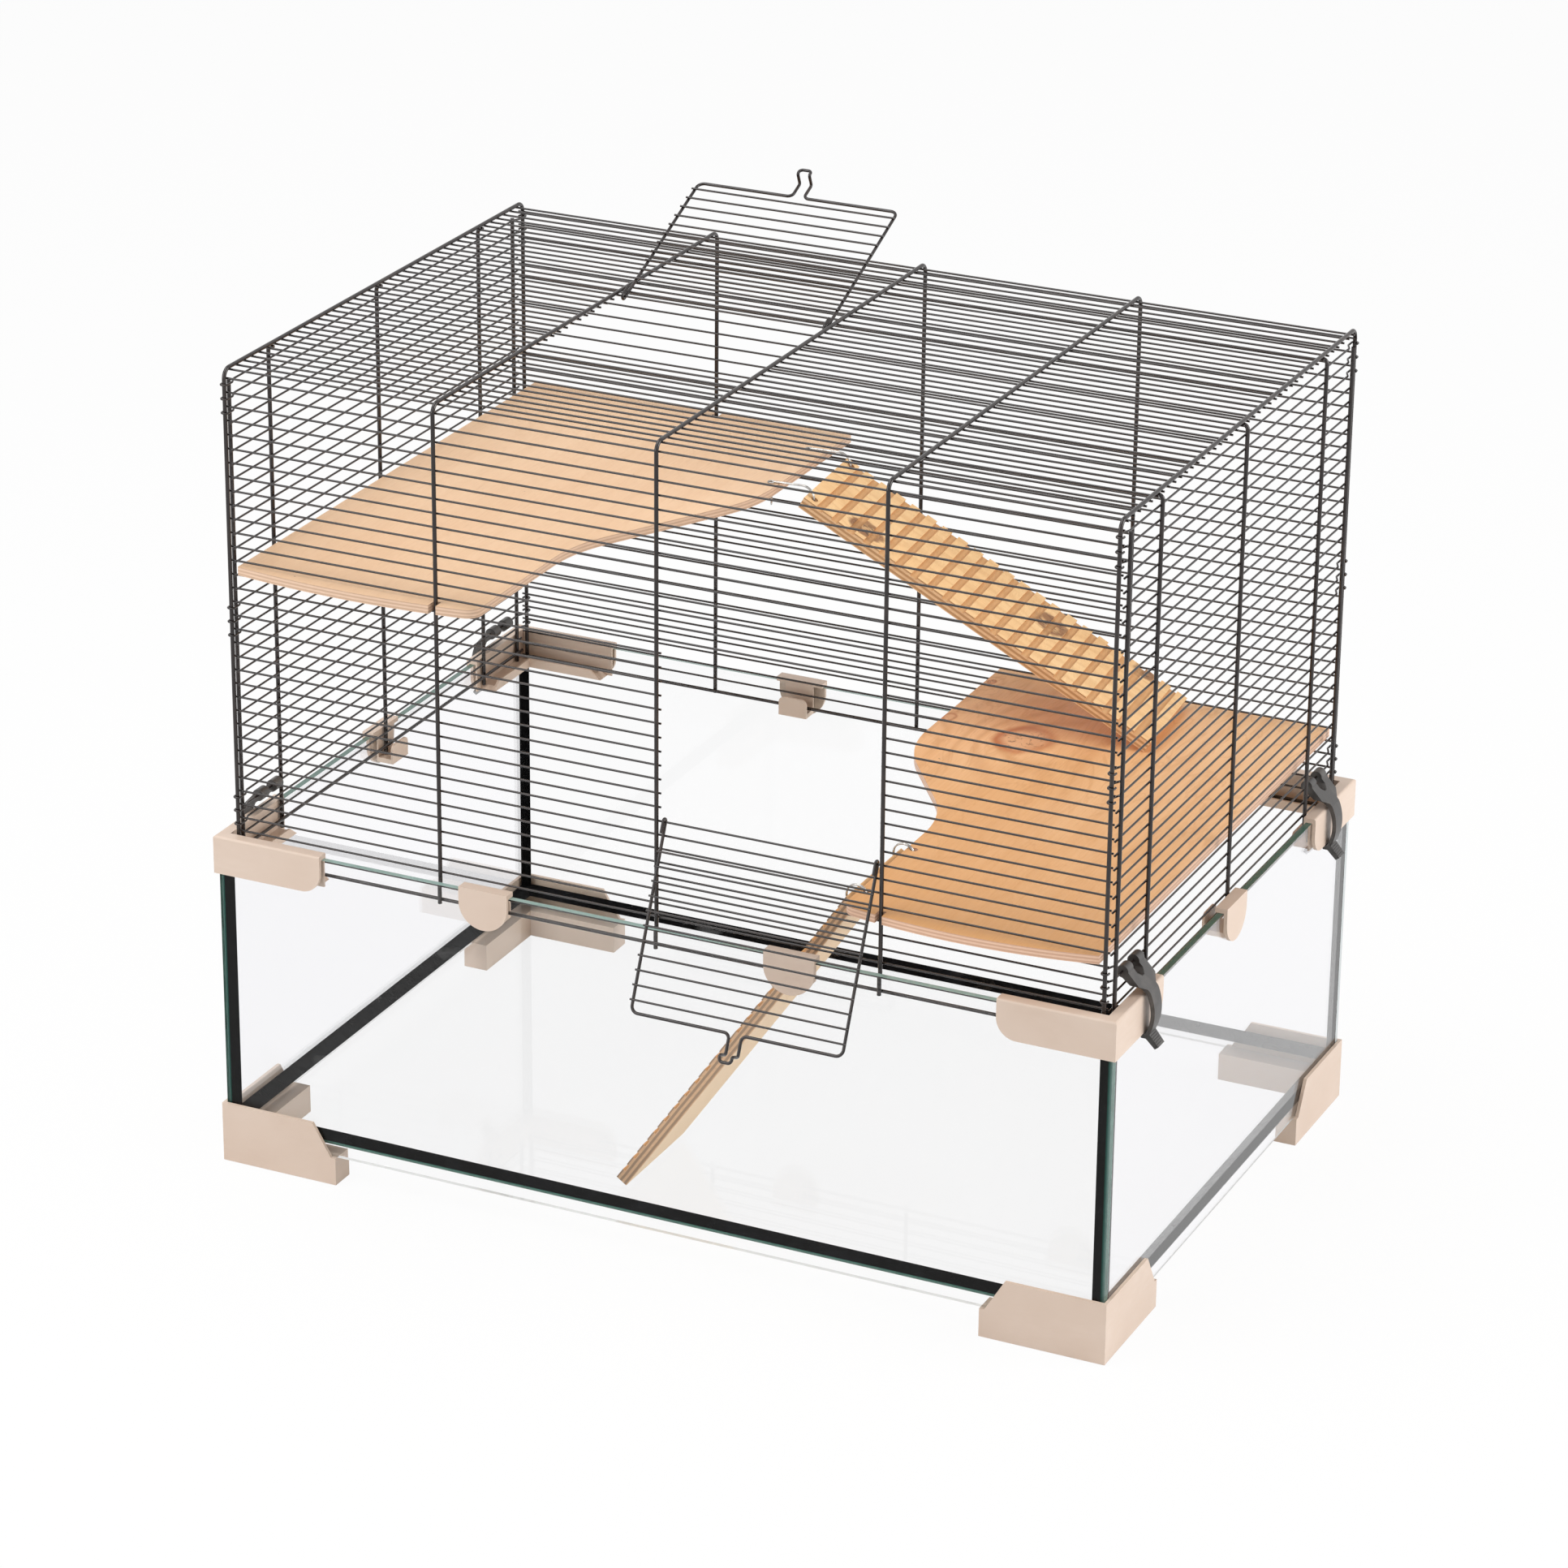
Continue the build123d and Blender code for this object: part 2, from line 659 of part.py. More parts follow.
def latch(side, y):
    origin = (side * side_wire_x, y, latch_z)
    profile_plane = Plane(origin=origin, x_dir=(side, 0, 0), z_dir=(0, -side, 0))
    front_plane = Plane(origin=origin, x_dir=(0, side, 0), z_dir=(side, 0, 0))
    bow_z = -(over_cap + under_cap) / 2
    strap_top_in = (strap_in, -over_cap + latch_gap)
    strap_top_out = (strap_out, -over_cap + 2 * latch_gap)
    tab_top = (strap_out, -under_cap)
    hook_under = -catch_radius - latch_hook / 2
    with BuildPart() as clasp:
        with BuildSketch(profile_plane):
            with BuildLine():
                ThreePointArc(on_catch(tip_x), on_catch((tip_x + strap_in) / 2), on_catch(strap_in))
                ThreePointArc(on_catch(strap_in), (strap_in + latch_bow, bow_z), strap_top_in)
                Polyline(strap_top_in, (0, -latch_eye), (0, latch_eye), strap_top_out)
                ThreePointArc(strap_top_out, (strap_out + latch_bow, bow_z), tab_top)
                Polyline(
                    tab_top,
                    (strap_out + tab_run, -under_cap - tab_drop),
                    (strap_out + tab_run - tab_back, tab_low),
                    (strap_out - tab_back, hook_under),
                    (tip_x + latch_tip_gap, hook_under),
                    on_catch(tip_x),
                )
            make_face()
            Circle(latch_eye)
            Circle(wire_radius + eye_fit, mode=Mode.SUBTRACT)
        extrude(amount=latch_width / 2, both=True)
        with BuildSketch(front_plane):
            with BuildLine():
                half_wide, half_neck = latch_width / 2, latch_neck / 2
                half_notch, half_end = latch_notch / 2, latch_end / 2
                half_floor = latch_notch_floor / 2
                Polyline(
                    (half_floor, -latch_notch_low),
                    (half_notch, -latch_notch_side),
                    (half_notch, latch_eye),
                    (half_wide, latch_eye),
                    (half_wide, -latch_shoulder),
                    (half_neck, -latch_neck_top),
                    (half_end, tab_low),
                    (-half_end, tab_low),
                    (-half_neck, -latch_neck_top),
                    (-half_wide, -latch_shoulder),
                    (-half_wide, latch_eye),
                    (-half_notch, latch_eye),
                    (-half_notch, -latch_notch_side),
                    (-half_floor, -latch_notch_low),
                    close=True,
                )
            make_face()
        extrude(amount=strap_out + tab_run + latch_wall, both=True, mode=Mode.INTERSECT)
    return clasp.part


for end, y in (("front", -latch_y), ("back", latch_y)):
    for name, side in (("left", -1), ("right", 1)):
        keep(f"latch_{name}_{end}", latch(side, y))

# --- Shelves, ramps and the wires that hang the ramps from the shelves ---

upper_low = row_z(upper_row) + wire_radius + shelf_seat
lower_low = row_z(lower_row) + wire_radius + shelf_seat
lower_top = lower_low + shelf_thickness
lower_axis = (*lower_hinge, lower_low + shelf_thickness / 2 - ring_drop)
upper_axis = (*upper_hinge, upper_low + shelf_thickness + bright_wire + hook_lift - hook_radius)
hinge_half = ramp_width / 2 - hinge_edge
turn = radians(upper_turn)
turned_along = Vector(cos(turn), sin(turn), 0)
turned_across = Vector(-sin(turn), cos(turn), 0)
hoop_notch = hoop_y - hoop_radius - notch_fit


def cut_notches(x):
    # Open slots in a shelf's front and back edges where a hoop passes.
    with BuildSketch() as slots:
        for side in (-1, 1):
            with Locations((x, side * (hoop_notch + half_y) / 2)):
                Rectangle(2 * (hoop_radius + notch_fit), half_y - hoop_notch)
    return slots.sketch


with BuildPart() as upper_shelf:
    with BuildSketch(Plane.XY.offset(upper_low)):
        with BuildLine():
            wall_end = (upper_wall_x, upper_front_ends[0])
            free_end = (upper_edge[0][0], upper_front_ends[1])
            Polyline((upper_edge_back, upper_back_y), (upper_wall_x, upper_back_y), wall_end)
            ThreePointArc(wall_end, ((wall_end[0] + free_end[0]) / 2, upper_front_y), free_end)
            FilletPolyline(
                free_end,
                *upper_edge,
                (upper_edge_back, upper_back_y),
                radius=upper_edge_bend,
            )
        outline = make_face()
        edge_low, edge_high = upper_edge[0][0] - shelf_pick, upper_edge_back + shelf_pick
        edge_corner = outline.vertices().filter_by_position(Axis.X, edge_low, edge_high)
        fillet(edge_corner.group_by(Axis.Y)[0], radius=shelf_corner)
        fillet(edge_corner.group_by(Axis.Y)[-1], radius=shelf_back_corner)
        add(cut_notches(hoop_places[1]), mode=Mode.SUBTRACT)
    extrude(amount=shelf_thickness)
    for side in (-1, 1):
        hole = Vector(*upper_hinge) - hook_reach * turned_along + side * hinge_half * turned_across
        with Locations((hole.X, hole.Y, upper_low)):
            Cylinder(hook_hole, 3 * shelf_thickness, mode=Mode.SUBTRACT)
keep("upper_shelf", upper_shelf.part)

ring_side = sqrt(ring_radius**2 - ring_drop**2)
with BuildPart() as lower_shelf:
    with BuildSketch(Plane.XY.offset(lower_low)):
        with BuildLine():
            wall_end = (lower_wall_x, lower_front_ends[0])
            free_end = (lower_edge[0][0], lower_front_ends[1])
            Polyline((lower_edge[1][0], lower_back_y), (lower_wall_x, lower_back_y), wall_end)
            ThreePointArc(wall_end, ((wall_end[0] + free_end[0]) / 2, lower_front_y), free_end)
            FilletPolyline(
                free_end,
                *lower_edge,
                (lower_edge[1][0], lower_back_y),
                radius=lower_edge_bend,
            )
        outline = make_face()
        edge_low, edge_high = lower_edge[1][0] - shelf_pick, lower_edge[0][0] + shelf_pick
        edge_corner = outline.vertices().filter_by_position(Axis.X, edge_low, edge_high)
        fillet(edge_corner.group_by(Axis.Y)[0], radius=shelf_corner)
        fillet(edge_corner.group_by(Axis.Y)[-1], radius=shelf_back_corner)
        add(cut_notches(hoop_places[3]), mode=Mode.SUBTRACT)
    extrude(amount=shelf_thickness)
    for side in (-1, 1):
        with Locations((lower_hinge[0] + ring_side, lower_hinge[1] + side * hinge_half, lower_low)):
            Cylinder(hinge_hole, 3 * shelf_thickness, mode=Mode.SUBTRACT)
keep("lower_shelf", lower_shelf.part)


def rest_angle(axis_z, seat_z):
    # The slope at which the lower corner of the ramp's foot comes down on its seat.
    reach = ramp_end + ramp_length
    half = ramp_thickness / 2
    return asin((axis_z - seat_z - ramp_rest) / hypot(reach, half)) - atan2(half, reach)


def ramp(plane, hole_at):
    # The plane's x runs down the ramp from its hinge and its z up from the walking face.
    count = int((ramp_length - groove_first) // groove_pitch)
    with BuildPart(plane) as board:
        with Locations((ramp_end, 0, 0)):
            Box(ramp_length, ramp_width, ramp_thickness, align=(Align.MIN, Align.CENTER, Align.CENTER))
        for number in range(count + 1):
            with Locations((ramp_end + groove_first + number * groove_pitch, 0, ramp_thickness / 2)):
                Box(groove_width, ramp_width, 2 * groove_depth, mode=Mode.SUBTRACT)
        with Locations((hole_at, -hinge_half, 0), (hole_at, hinge_half, 0)):
            Cylinder(hinge_hole, 2 * ramp_thickness, mode=Mode.SUBTRACT)
    return board.part


lower_slope = rest_angle(lower_axis[2], floor_top)
upper_slope = rest_angle(upper_axis[2], lower_top)
lower_ramp_plane = Plane(
    origin=lower_axis,
    x_dir=(-cos(lower_slope), 0, -sin(lower_slope)),
    z_dir=(-sin(lower_slope), 0, cos(lower_slope)),
)
upper_ramp_plane = Plane(
    origin=upper_axis,
    x_dir=turned_along * cos(upper_slope) + Vector(0, 0, -sin(upper_slope)),
    z_dir=turned_along * sin(upper_slope) + Vector(0, 0, cos(upper_slope)),
)


def hole_place(radius):
    # Middle of the part of a round wire that lies inside the board's thickness.
    return (radius + sqrt(radius**2 - (ramp_thickness / 2) ** 2)) / 2


keep("lower_ramp", ramp(lower_ramp_plane, hole_place(ring_radius)))
keep("upper_ramp", ramp(upper_ramp_plane, hole_place(hook_radius)))

for place, side in (("front", -1), ("back", 1)):
    center = Vector(*lower_axis) + Vector(0, side * hinge_half, 0)
    with BuildPart(Plane(origin=center, z_dir=(0, 1, 0))) as ring:
        Torus(ring_radius, bright_wire)
    keep(f"ramp_ring_{place}", ring.part)
    center = Vector(*upper_axis) + side * hinge_half * turned_across
    tail_low = upper_low - hook_tail - upper_axis[2]
    with BuildLine(Plane(origin=center, x_dir=turned_along, z_dir=-turned_across)) as route:
        FilletPolyline((-hook_reach, tail_low), (-hook_reach, hook_radius), (0, hook_radius), radius=hook_bend)
        CenterArc((0, 0), hook_radius, 90, -hook_arc)
    with BuildPart() as hook:
        sweep(section(route.line, bright_wire), path=route.line)
    keep(f"ramp_hook_{place}", hook.part)

# --- The origin lies under the middle of the whole cage with its doors open ---

lows = [piece.bounding_box().min for piece in pieces.values()]
highs = [piece.bounding_box().max for piece in pieces.values()]
middle_x = (min(low.X for low in lows) + max(high.X for high in highs)) / 2
middle_y = (min(low.Y for low in lows) + max(high.Y for high in highs)) / 2
to_origin = Location((-middle_x, -middle_y, 0))

for name, piece in pieces.items():
    placed = piece.moved(to_origin)
    placed.label = name
    export_step(placed, f"parts/{name}.step")
print(f"{len(pieces)} sub-parts, doors lean {degrees(lean):.2f} degrees")
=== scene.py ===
import bpy
import bmesh
import math
from mathutils import Matrix, Vector


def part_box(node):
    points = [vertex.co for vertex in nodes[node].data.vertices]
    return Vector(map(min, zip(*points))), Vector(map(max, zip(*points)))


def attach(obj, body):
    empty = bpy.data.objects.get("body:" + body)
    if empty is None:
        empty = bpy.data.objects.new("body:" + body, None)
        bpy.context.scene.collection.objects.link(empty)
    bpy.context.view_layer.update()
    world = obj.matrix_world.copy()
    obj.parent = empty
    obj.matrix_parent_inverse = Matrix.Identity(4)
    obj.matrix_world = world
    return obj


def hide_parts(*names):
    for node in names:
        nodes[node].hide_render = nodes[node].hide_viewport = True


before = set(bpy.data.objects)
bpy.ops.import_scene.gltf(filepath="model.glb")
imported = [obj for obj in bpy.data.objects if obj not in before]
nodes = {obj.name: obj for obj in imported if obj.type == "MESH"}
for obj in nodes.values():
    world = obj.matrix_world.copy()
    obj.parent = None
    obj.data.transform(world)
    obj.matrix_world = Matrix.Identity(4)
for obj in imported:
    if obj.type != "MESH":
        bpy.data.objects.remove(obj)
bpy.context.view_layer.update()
print("cage frame loaded,", len(nodes), "nodes")

# the tank's middle, from its own panes: everything below is placed from it
frontLow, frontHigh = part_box("glass_front")
backLow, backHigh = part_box("glass_back")
tankY = (frontLow[1] + backHigh[1]) / 2
tankX = (frontLow[0] + frontHigh[0]) / 2


def spot(x, y, z):  # millimetres from the tank's middle, to the frame's metres
    return Vector((tankX + x / 1000, tankY + y / 1000, z / 1000))


class Wire:  # one value running through a finish, joined up with plain operators
    def __init__(self, finish, socket):
        self.finish = finish
        self.socket = socket

    def maths(self, operation, *others, clamp=False):
        values = {i: v for i, v in enumerate((self, *others))}
        return self.finish.node("ShaderNodeMath", {"operation": operation, "use_clamp": clamp}, values)

    def vector(self, operation, *others, out=0):
        values = {i: v for i, v in enumerate((self, *others))}
        return self.finish.node("ShaderNodeVectorMath", {"operation": operation}, values, out)

    def flipped(self, operation, other):
        return self.finish.node("ShaderNodeMath", {"operation": operation}, {0: other, 1: self})

    def __add__(self, other):
        return self.maths("ADD", other)

    def __radd__(self, other):
        return self.flipped("ADD", other)

    def __sub__(self, other):
        return self.maths("SUBTRACT", other)

    def __rsub__(self, other):
        return self.flipped("SUBTRACT", other)

    def __mul__(self, other):
        return self.maths("MULTIPLY", other)

    def __pow__(self, other):
        return self.maths("POWER", other)

    def __mod__(self, other):
        return self.maths("FLOORED_MODULO", other)

    def __gt__(self, other):
        return self.maths("GREATER_THAN", other)

    def __lt__(self, other):
        return self.maths("LESS_THAN", other)

    def __abs__(self):
        return self.maths("ABSOLUTE")

    def clamped(self):
        return self.maths("ADD", 0.0, clamp=True)


class Finish:  # one material, or the world, under construction
    def __init__(self, name, holder=None):
        self.material = holder or bpy.data.materials.new(name)
        self.material.use_nodes = True
        self.tree = self.material.node_tree
        self.tree.nodes.clear()
        self.coords = None

    def node(self, kind, settings=None, values=None, out=0):
        made = self.tree.nodes.new(kind)
        for key, value in (settings or {}).items():
            setattr(made, key, value)
        for key, value in (values or {}).items():
            socket = made.inputs[key]
            if isinstance(value, Wire):
                self.tree.links.new(value.socket, socket)
            elif socket.type == "RGBA" and len(value) == 3:
                socket.default_value = (*value, 1)
            else:
                socket.default_value = value
        return Wire(self, made.outputs[out]) if len(made.outputs) else made

    def place(self):  # metres in the frame, carried along by a moving piece
        if self.coords is None:
            self.coords = self.node("ShaderNodeTexCoord", out="Object")
        return self.coords

    def along(self, direction, start=(0, 0, 0)):  # distance along a direction, in metres
        shifted = self.place().vector("SUBTRACT", tuple(start))
        return shifted.vector("DOT_PRODUCT", tuple(direction), out="Value")

    def join(self, x, y, z):
        return self.node("ShaderNodeCombineXYZ", None, {0: x, 1: y, 2: z})

    def stretch(self, scale, where=None):
        return (where or self.place()).vector("MULTIPLY", scale)

    def grains(self, where, scale=1.0, detail=3.0, rough=0.5, warp=0.0):
        values = {"Vector": where, "Scale": scale, "Detail": detail, "Roughness": rough, "Distortion": warp}
        return self.node("ShaderNodeTexNoise", None, values)

    def grey(self, factor, low, high, lowTo=0.0, highTo=1.0):  # remaps a value, clamped
        values = {0: factor, 1: low, 2: high, 3: lowTo, 4: highTo}
        return self.node("ShaderNodeMapRange", {"clamp": True}, values)

    def blend(self, factor, first, second):
        return self.node("ShaderNodeMix", {"data_type": "RGBA"}, {0: factor, 6: first, 7: second}, 2)

    def facing(self, direction):  # 1 where the surface looks along a direction or against it
        normal = self.node("ShaderNodeNewGeometry", out="Normal")
        return abs(normal.vector("DOT_PRODUCT", tuple(direction), out="Value"))

    def bump(self, height, distance, strength=1.0, under=None):
        values = {"Strength": strength, "Distance": distance, "Height": height}
        if under is not None:
            values["Normal"] = under
        return self.node("ShaderNodeBump", None, values)

    def body(self, **values):
        named = {key.replace("_", " "): value for key, value in values.items()}
        return self.node("ShaderNodeBsdfPrincipled", None, named)

    def mix(self, factor, first, second):
        return self.node("ShaderNodeMixShader", None, {0: factor, 1: first, 2: second})

    def done(self, shader, kind="ShaderNodeOutputMaterial"):
        self.node(kind, None, {"Surface": shader})
        return self.material


# black paint on the cage wire: thick, glossy, a little cloudy, with a fine orange-peel skin
wirePaint = {
    "colour": (0.0135, 0.0085, 0.0078),
    "rubbed": (0.040, 0.028, 0.024),
    "roughness": (0.12, 0.26),
    "shine": 0.45,
    "lacquer": 0.16,
    "lacquerRoughness": 0.08,
    "skin": 0.00005,
    "runs": 0.00009,
}


def wireFinish():
    f = Finish("blackWirePaint")
    cloud = f.grains(f.place(), 55.0)
    peel = f.grains(f.place(), 950.0, 2.0)
    runs = f.grains(f.place(), 240.0, 2.0)
    colour = f.blend(f.grey(cloud, 0.5, 0.8), wirePaint["colour"], wirePaint["rubbed"])
    low, high = wirePaint["roughness"]
    shader = f.body(
        Base_Color=colour,
        Roughness=f.grey(cloud, 0.3, 0.7, low, high),
        Normal=f.bump(runs, wirePaint["runs"], 0.5, f.bump(peel, wirePaint["skin"], 0.6)),
        Specular_IOR_Level=wirePaint["shine"],
        Coat_Weight=wirePaint["lacquer"],
        Coat_Roughness=wirePaint["lacquerRoughness"],
    )
    return f.done(shader)


# bright zinc on the wires that hang the ramps
zincWire = {
    "colour": (0.62, 0.60, 0.57),
    "dull": (0.30, 0.285, 0.27),
    "stain": (0.115, 0.10, 0.085),
    "roughness": (0.14, 0.40),
}


def zincFinish():
    f = Finish("brightZincWire")
    cloud = f.grains(f.place(), 190.0)
    spots = f.grains(f.place(), 900.0, 2.0)
    drawn = f.grains(f.stretch((1800.0, 260.0, 1800.0)))
    colour = f.blend(f.grey(cloud, 0.4, 0.7), zincWire["colour"], zincWire["dull"])
    colour = f.blend(f.grey(spots, 0.62, 0.76), colour, zincWire["stain"])
    low, high = zincWire["roughness"]
    relief = f.bump(drawn, 0.00003, 0.4)
    rough = f.grey(cloud, 0.3, 0.7, low, high)
    shader = f.body(Base_Color=colour, Metallic=1.0, Roughness=rough, Normal=relief)
    return f.done(shader)


# the moulded feet, caps and clips: warm beige, satin, with a cloudy, uneven tone
beige = {
    "colour": (0.705, 0.565, 0.465),
    "pale": (0.740, 0.605, 0.510),
    "deep": (0.665, 0.520, 0.420),
    "roughness": (0.33, 0.46),
    "shine": 0.40,
    "texture": 0.00005,
    "sink": 0.0006,
}


def beigeFinish():
    f = Finish("beigeMouldedPlastic")
    cloud = f.grains(f.place(), 22.0)
    flow = f.grains(f.stretch((1.0, 1.0, 4.0)), 60.0, 3.0, 0.6)
    spark = f.grains(f.place(), 1500.0, 2.0, 0.6)
    dust = f.grains(f.place(), 420.0, 2.0)
    colour = f.blend(f.grey(cloud, 0.35, 0.65), beige["deep"], beige["pale"])
    colour = f.blend(f.grey(flow, 0.3, 0.7, 0.25, 0.85), colour, beige["colour"])
    colour = f.blend(f.grey(dust, 0.66, 0.80, 0.0, 0.18), colour, beige["deep"])
    low, high = beige["roughness"]
    shader = f.body(
        Base_Color=colour,
        Roughness=f.grey(flow, 0.3, 0.7, low, high),
        Normal=f.bump(spark, beige["texture"], 0.5, f.bump(cloud, beige["sink"], 0.15)),
        Specular_IOR_Level=beige["shine"],
    )
    return f.done(shader)


# the latches: spark-textured black nylon that shines grey on its broad faces
latchBlack = {
    "colour": (0.036, 0.033, 0.031),
    "scuffed": (0.105, 0.096, 0.088),
    "roughness": (0.36, 0.52),
    "shine": 0.75,
    "texture": 0.00005,
}


def latchFinish():
    f = Finish("blackLatchPlastic")
    cloud = f.grains(f.place(), 90.0, 4.0)
    spark = f.grains(f.place(), 2400.0, 2.0)
    scratch = f.grains(f.stretch((300.0, 1400.0, 220.0)), 1.0, 3.0, 0.6)
    colour = f.blend(f.grey(cloud, 0.5, 0.8), latchBlack["colour"], latchBlack["scuffed"])
    colour = f.blend(f.grey(scratch, 0.62, 0.78, 0.0, 0.5), colour, latchBlack["scuffed"])
    low, high = latchBlack["roughness"]
    shader = f.body(
        Base_Color=colour,
        Roughness=f.grey(cloud, 0.3, 0.7, low, high),
        Normal=f.bump(spark, latchBlack["texture"], 0.7),
        Specular_IOR_Level=latchBlack["shine"],
    )
    return f.done(shader)


# the silicone that glues the panes: glossy, laid by hand, so it swells and pulls along its length
silicone = {
    "colour": (0.0030, 0.0029, 0.0030),
    "smear": {"Corner": (0.005, 0.005, 0.006), "Floor": (0.009, 0.0095, 0.0115)},
    "roughness": (0.14, 0.34),
    "lumps": {"Corner": 0.0003, "Floor": 0.0016},
    "shine": 0.03,
    "streaks": 0.55,  # glossy strokes on the floor's bead, where it was pulled with a finger
    "film": 0.2935,  # beyond this from the middle it is a film squeezed clear over a pane's cut edge
    "hidden": 0.0021,  # this much less of the film shows at the left
    "filmDeep": (0.012, 0.068, 0.054),
    "filmPale": (0.200, 0.300, 0.280),
    "skin": (0.062, 0.165, 0.130),  # under the front bead, where it thins out over the floor pane's edge
    "skinTop": 0.0272,
    "front": {"Corner": 0.0, "Floor": -0.1925},  # the colour under the silicone shows ahead of this
    "strokeRoughness": 0.12,
}


def siliconeFinish(name):
    f = Finish("blackSilicone" + name)
    cloud = f.grains(f.place(), 40.0, 4.0, 0.6)
    lumps = f.grains(f.stretch((1.0, 1.0, 0.7)), 62.0, 3.0, 0.55, 0.6)
    pulls = f.grains(f.place(), 210.0, 3.0, 0.6, 0.3)
    colour = f.blend(f.grey(cloud, 0.45, 0.75), silicone["colour"], silicone["smear"][name])
    sideways = f.along((1, 0, 0), spot(0, 0, 0))
    reach = abs(sideways) - silicone["film"] - (sideways < 0) * silicone["hidden"]
    film = f.blend(f.grey(reach, 0.0009, 0.0032), silicone["filmDeep"], silicone["filmPale"])
    ahead = f.along((0, 1, 0), spot(0, 0, 0)) < silicone["front"][name]
    if name == "Corner":
        colour = f.blend(f.grey(reach, 0.0001, 0.0006) * ahead, colour, film)
    else:
        skin = ahead * (f.along((0, 0, 1), (0, 0, 0)) < silicone["skinTop"])
        colour = f.blend(skin, colour, silicone["skin"])
    low, high = silicone["roughness"]
    swell = silicone["lumps"][name]
    gloss = 0.0
    if name == "Floor":
        strokes = f.grains(f.stretch((34.0, 34.0, 90.0)), 1.0, 4.0, 0.65, 0.8)
        gloss = f.grey(strokes, 0.58, 0.66, 0.0, silicone["streaks"])
    shader = f.body(
        Base_Color=colour,
        Roughness=f.grey(cloud, 0.3, 0.7, low, high),
        Normal=f.bump(pulls, swell * 0.2, 0.5, f.bump(lumps, swell, 0.7)),
        Specular_IOR_Level=silicone["shine"],
        Coat_Weight=gloss,
        Coat_Roughness=silicone["strokeRoughness"],
    )
    return f.done(shader)


# clear float glass with a ground edge: green-black seen into, and painted pale teal where light is behind it;
# its bottom ends and back corners are painted paler too
clearGlass = {
    "tint": {"Long": (0.969, 0.970, 0.972), "End": (0.969, 0.966, 0.983), "Floor": (0.955, 0.955, 0.957)},
    "edge": (0.105, 0.225, 0.185),
    "edgeDeep": (0.036, 0.088, 0.070),
    # painted light: each pane's edge colour as lit or shaded, pale teal on the long panes
    "paintedEdgeLighting": {"Long": (0.385, 0.555, 0.515), "End": (0.075, 0.175, 0.140), "Floor": (0.087, 0.200, 0.160)},
    # painted light: the panes' bottom ends are painted near white
    "paintedLowEdgeLight": (0.960, 0.965, 0.955),
    # painted light: the upright edges at the back corners are painted pale grey
    "paintedBackEdgeLight": (0.520, 0.570, 0.580),
    "shadow": (0.975, 0.985, 0.98),
    "edgeSolid": {"Long": 0.85, "End": 0.85, "Floor": 0.9},  # how far the ground edge is milky
    "bend": {"Long": 1.27, "End": 1.80, "Floor": 1.14},
    "lowBelow": 0.1,  # flat edges under this height are the panes' bottom ends
    "backPast": 0.1,  # upright edges past this are the back corners
    "floorFront": -192.0,  # millimetres: the floor pane's front edge is ahead of this
    "cutShine": 0.6,
    "cutRoughness": (0.10, 0.28),
}


def glassFinish(name, thin):  # thin is the direction through the pane
    f = Finish("clearGlass" + name)
    rim = f.facing(thin) < 0.5
    streak = f.grains(f.place(), 46.0, 4.0, 0.6)
    ground = f.grains(f.place(), 900.0, 3.0, 0.6)
    edge = f.blend(f.grey(streak, 0.35, 0.7), clearGlass["edgeDeep"], clearGlass["edge"])
    flat = f.facing((0, 0, 1)) > 0.5
    low = f.along((0, 0, 1), (0, 0, 0)) < clearGlass["lowBelow"]
    # painted light: the top edges take their pane's painted lit or shaded edge colour
    edge = f.blend(f.grey(streak, 0.3, 0.7, 0.95, 0.60) * flat, edge, clearGlass["paintedEdgeLighting"][name])
    # painted light: the panes' bottom ends are painted near white
    edge = f.blend(flat * low, edge, clearGlass["paintedLowEdgeLight"])
    # painted light: the upright edges at the back corners are painted pale grey
    behind = f.along((0, 1, 0), spot(0, 0, 0)) > clearGlass["backPast"]
    edge = f.blend((1.0 - flat) * behind, edge, clearGlass["paintedBackEdgeLight"])
    solid = rim * clearGlass["edgeSolid"][name]
    if name == "Floor":  # only its front edge is seen on its own, just under the silicone
        solid = solid * (f.along((0, 1, 0), spot(0, clearGlass["floorFront"], 0)) < 0)
        # painted light: most of the floor's edge colour is its pane's painted edge lighting
        edge = f.blend(0.75, edge, clearGlass["paintedEdgeLighting"][name])
    tint = clearGlass["tint"][name]
    if name != "Floor":
        tint = f.blend(rim, tint, edge)
    pane = f.body(Base_Color=tint, Transmission_Weight=1.0, IOR=clearGlass["bend"][name], Roughness=0.0)
    smooth, coarse = clearGlass["cutRoughness"]
    rough = f.grey(ground, 0.3, 0.7, smooth, coarse)
    cut = f.body(Base_Color=edge, Roughness=rough, Specular_IOR_Level=clearGlass["cutShine"])
    surface = f.mix(solid, pane, cut)
    lamp = f.node("ShaderNodeLightPath", out="Is Shadow Ray")
    bounce = f.node("ShaderNodeLightPath", out="Is Diffuse Ray")
    through = f.node("ShaderNodeBsdfTransparent", None, {0: clearGlass["shadow"]})
    return f.done(f.mix((lamp + bounce).clamped(), surface, through))


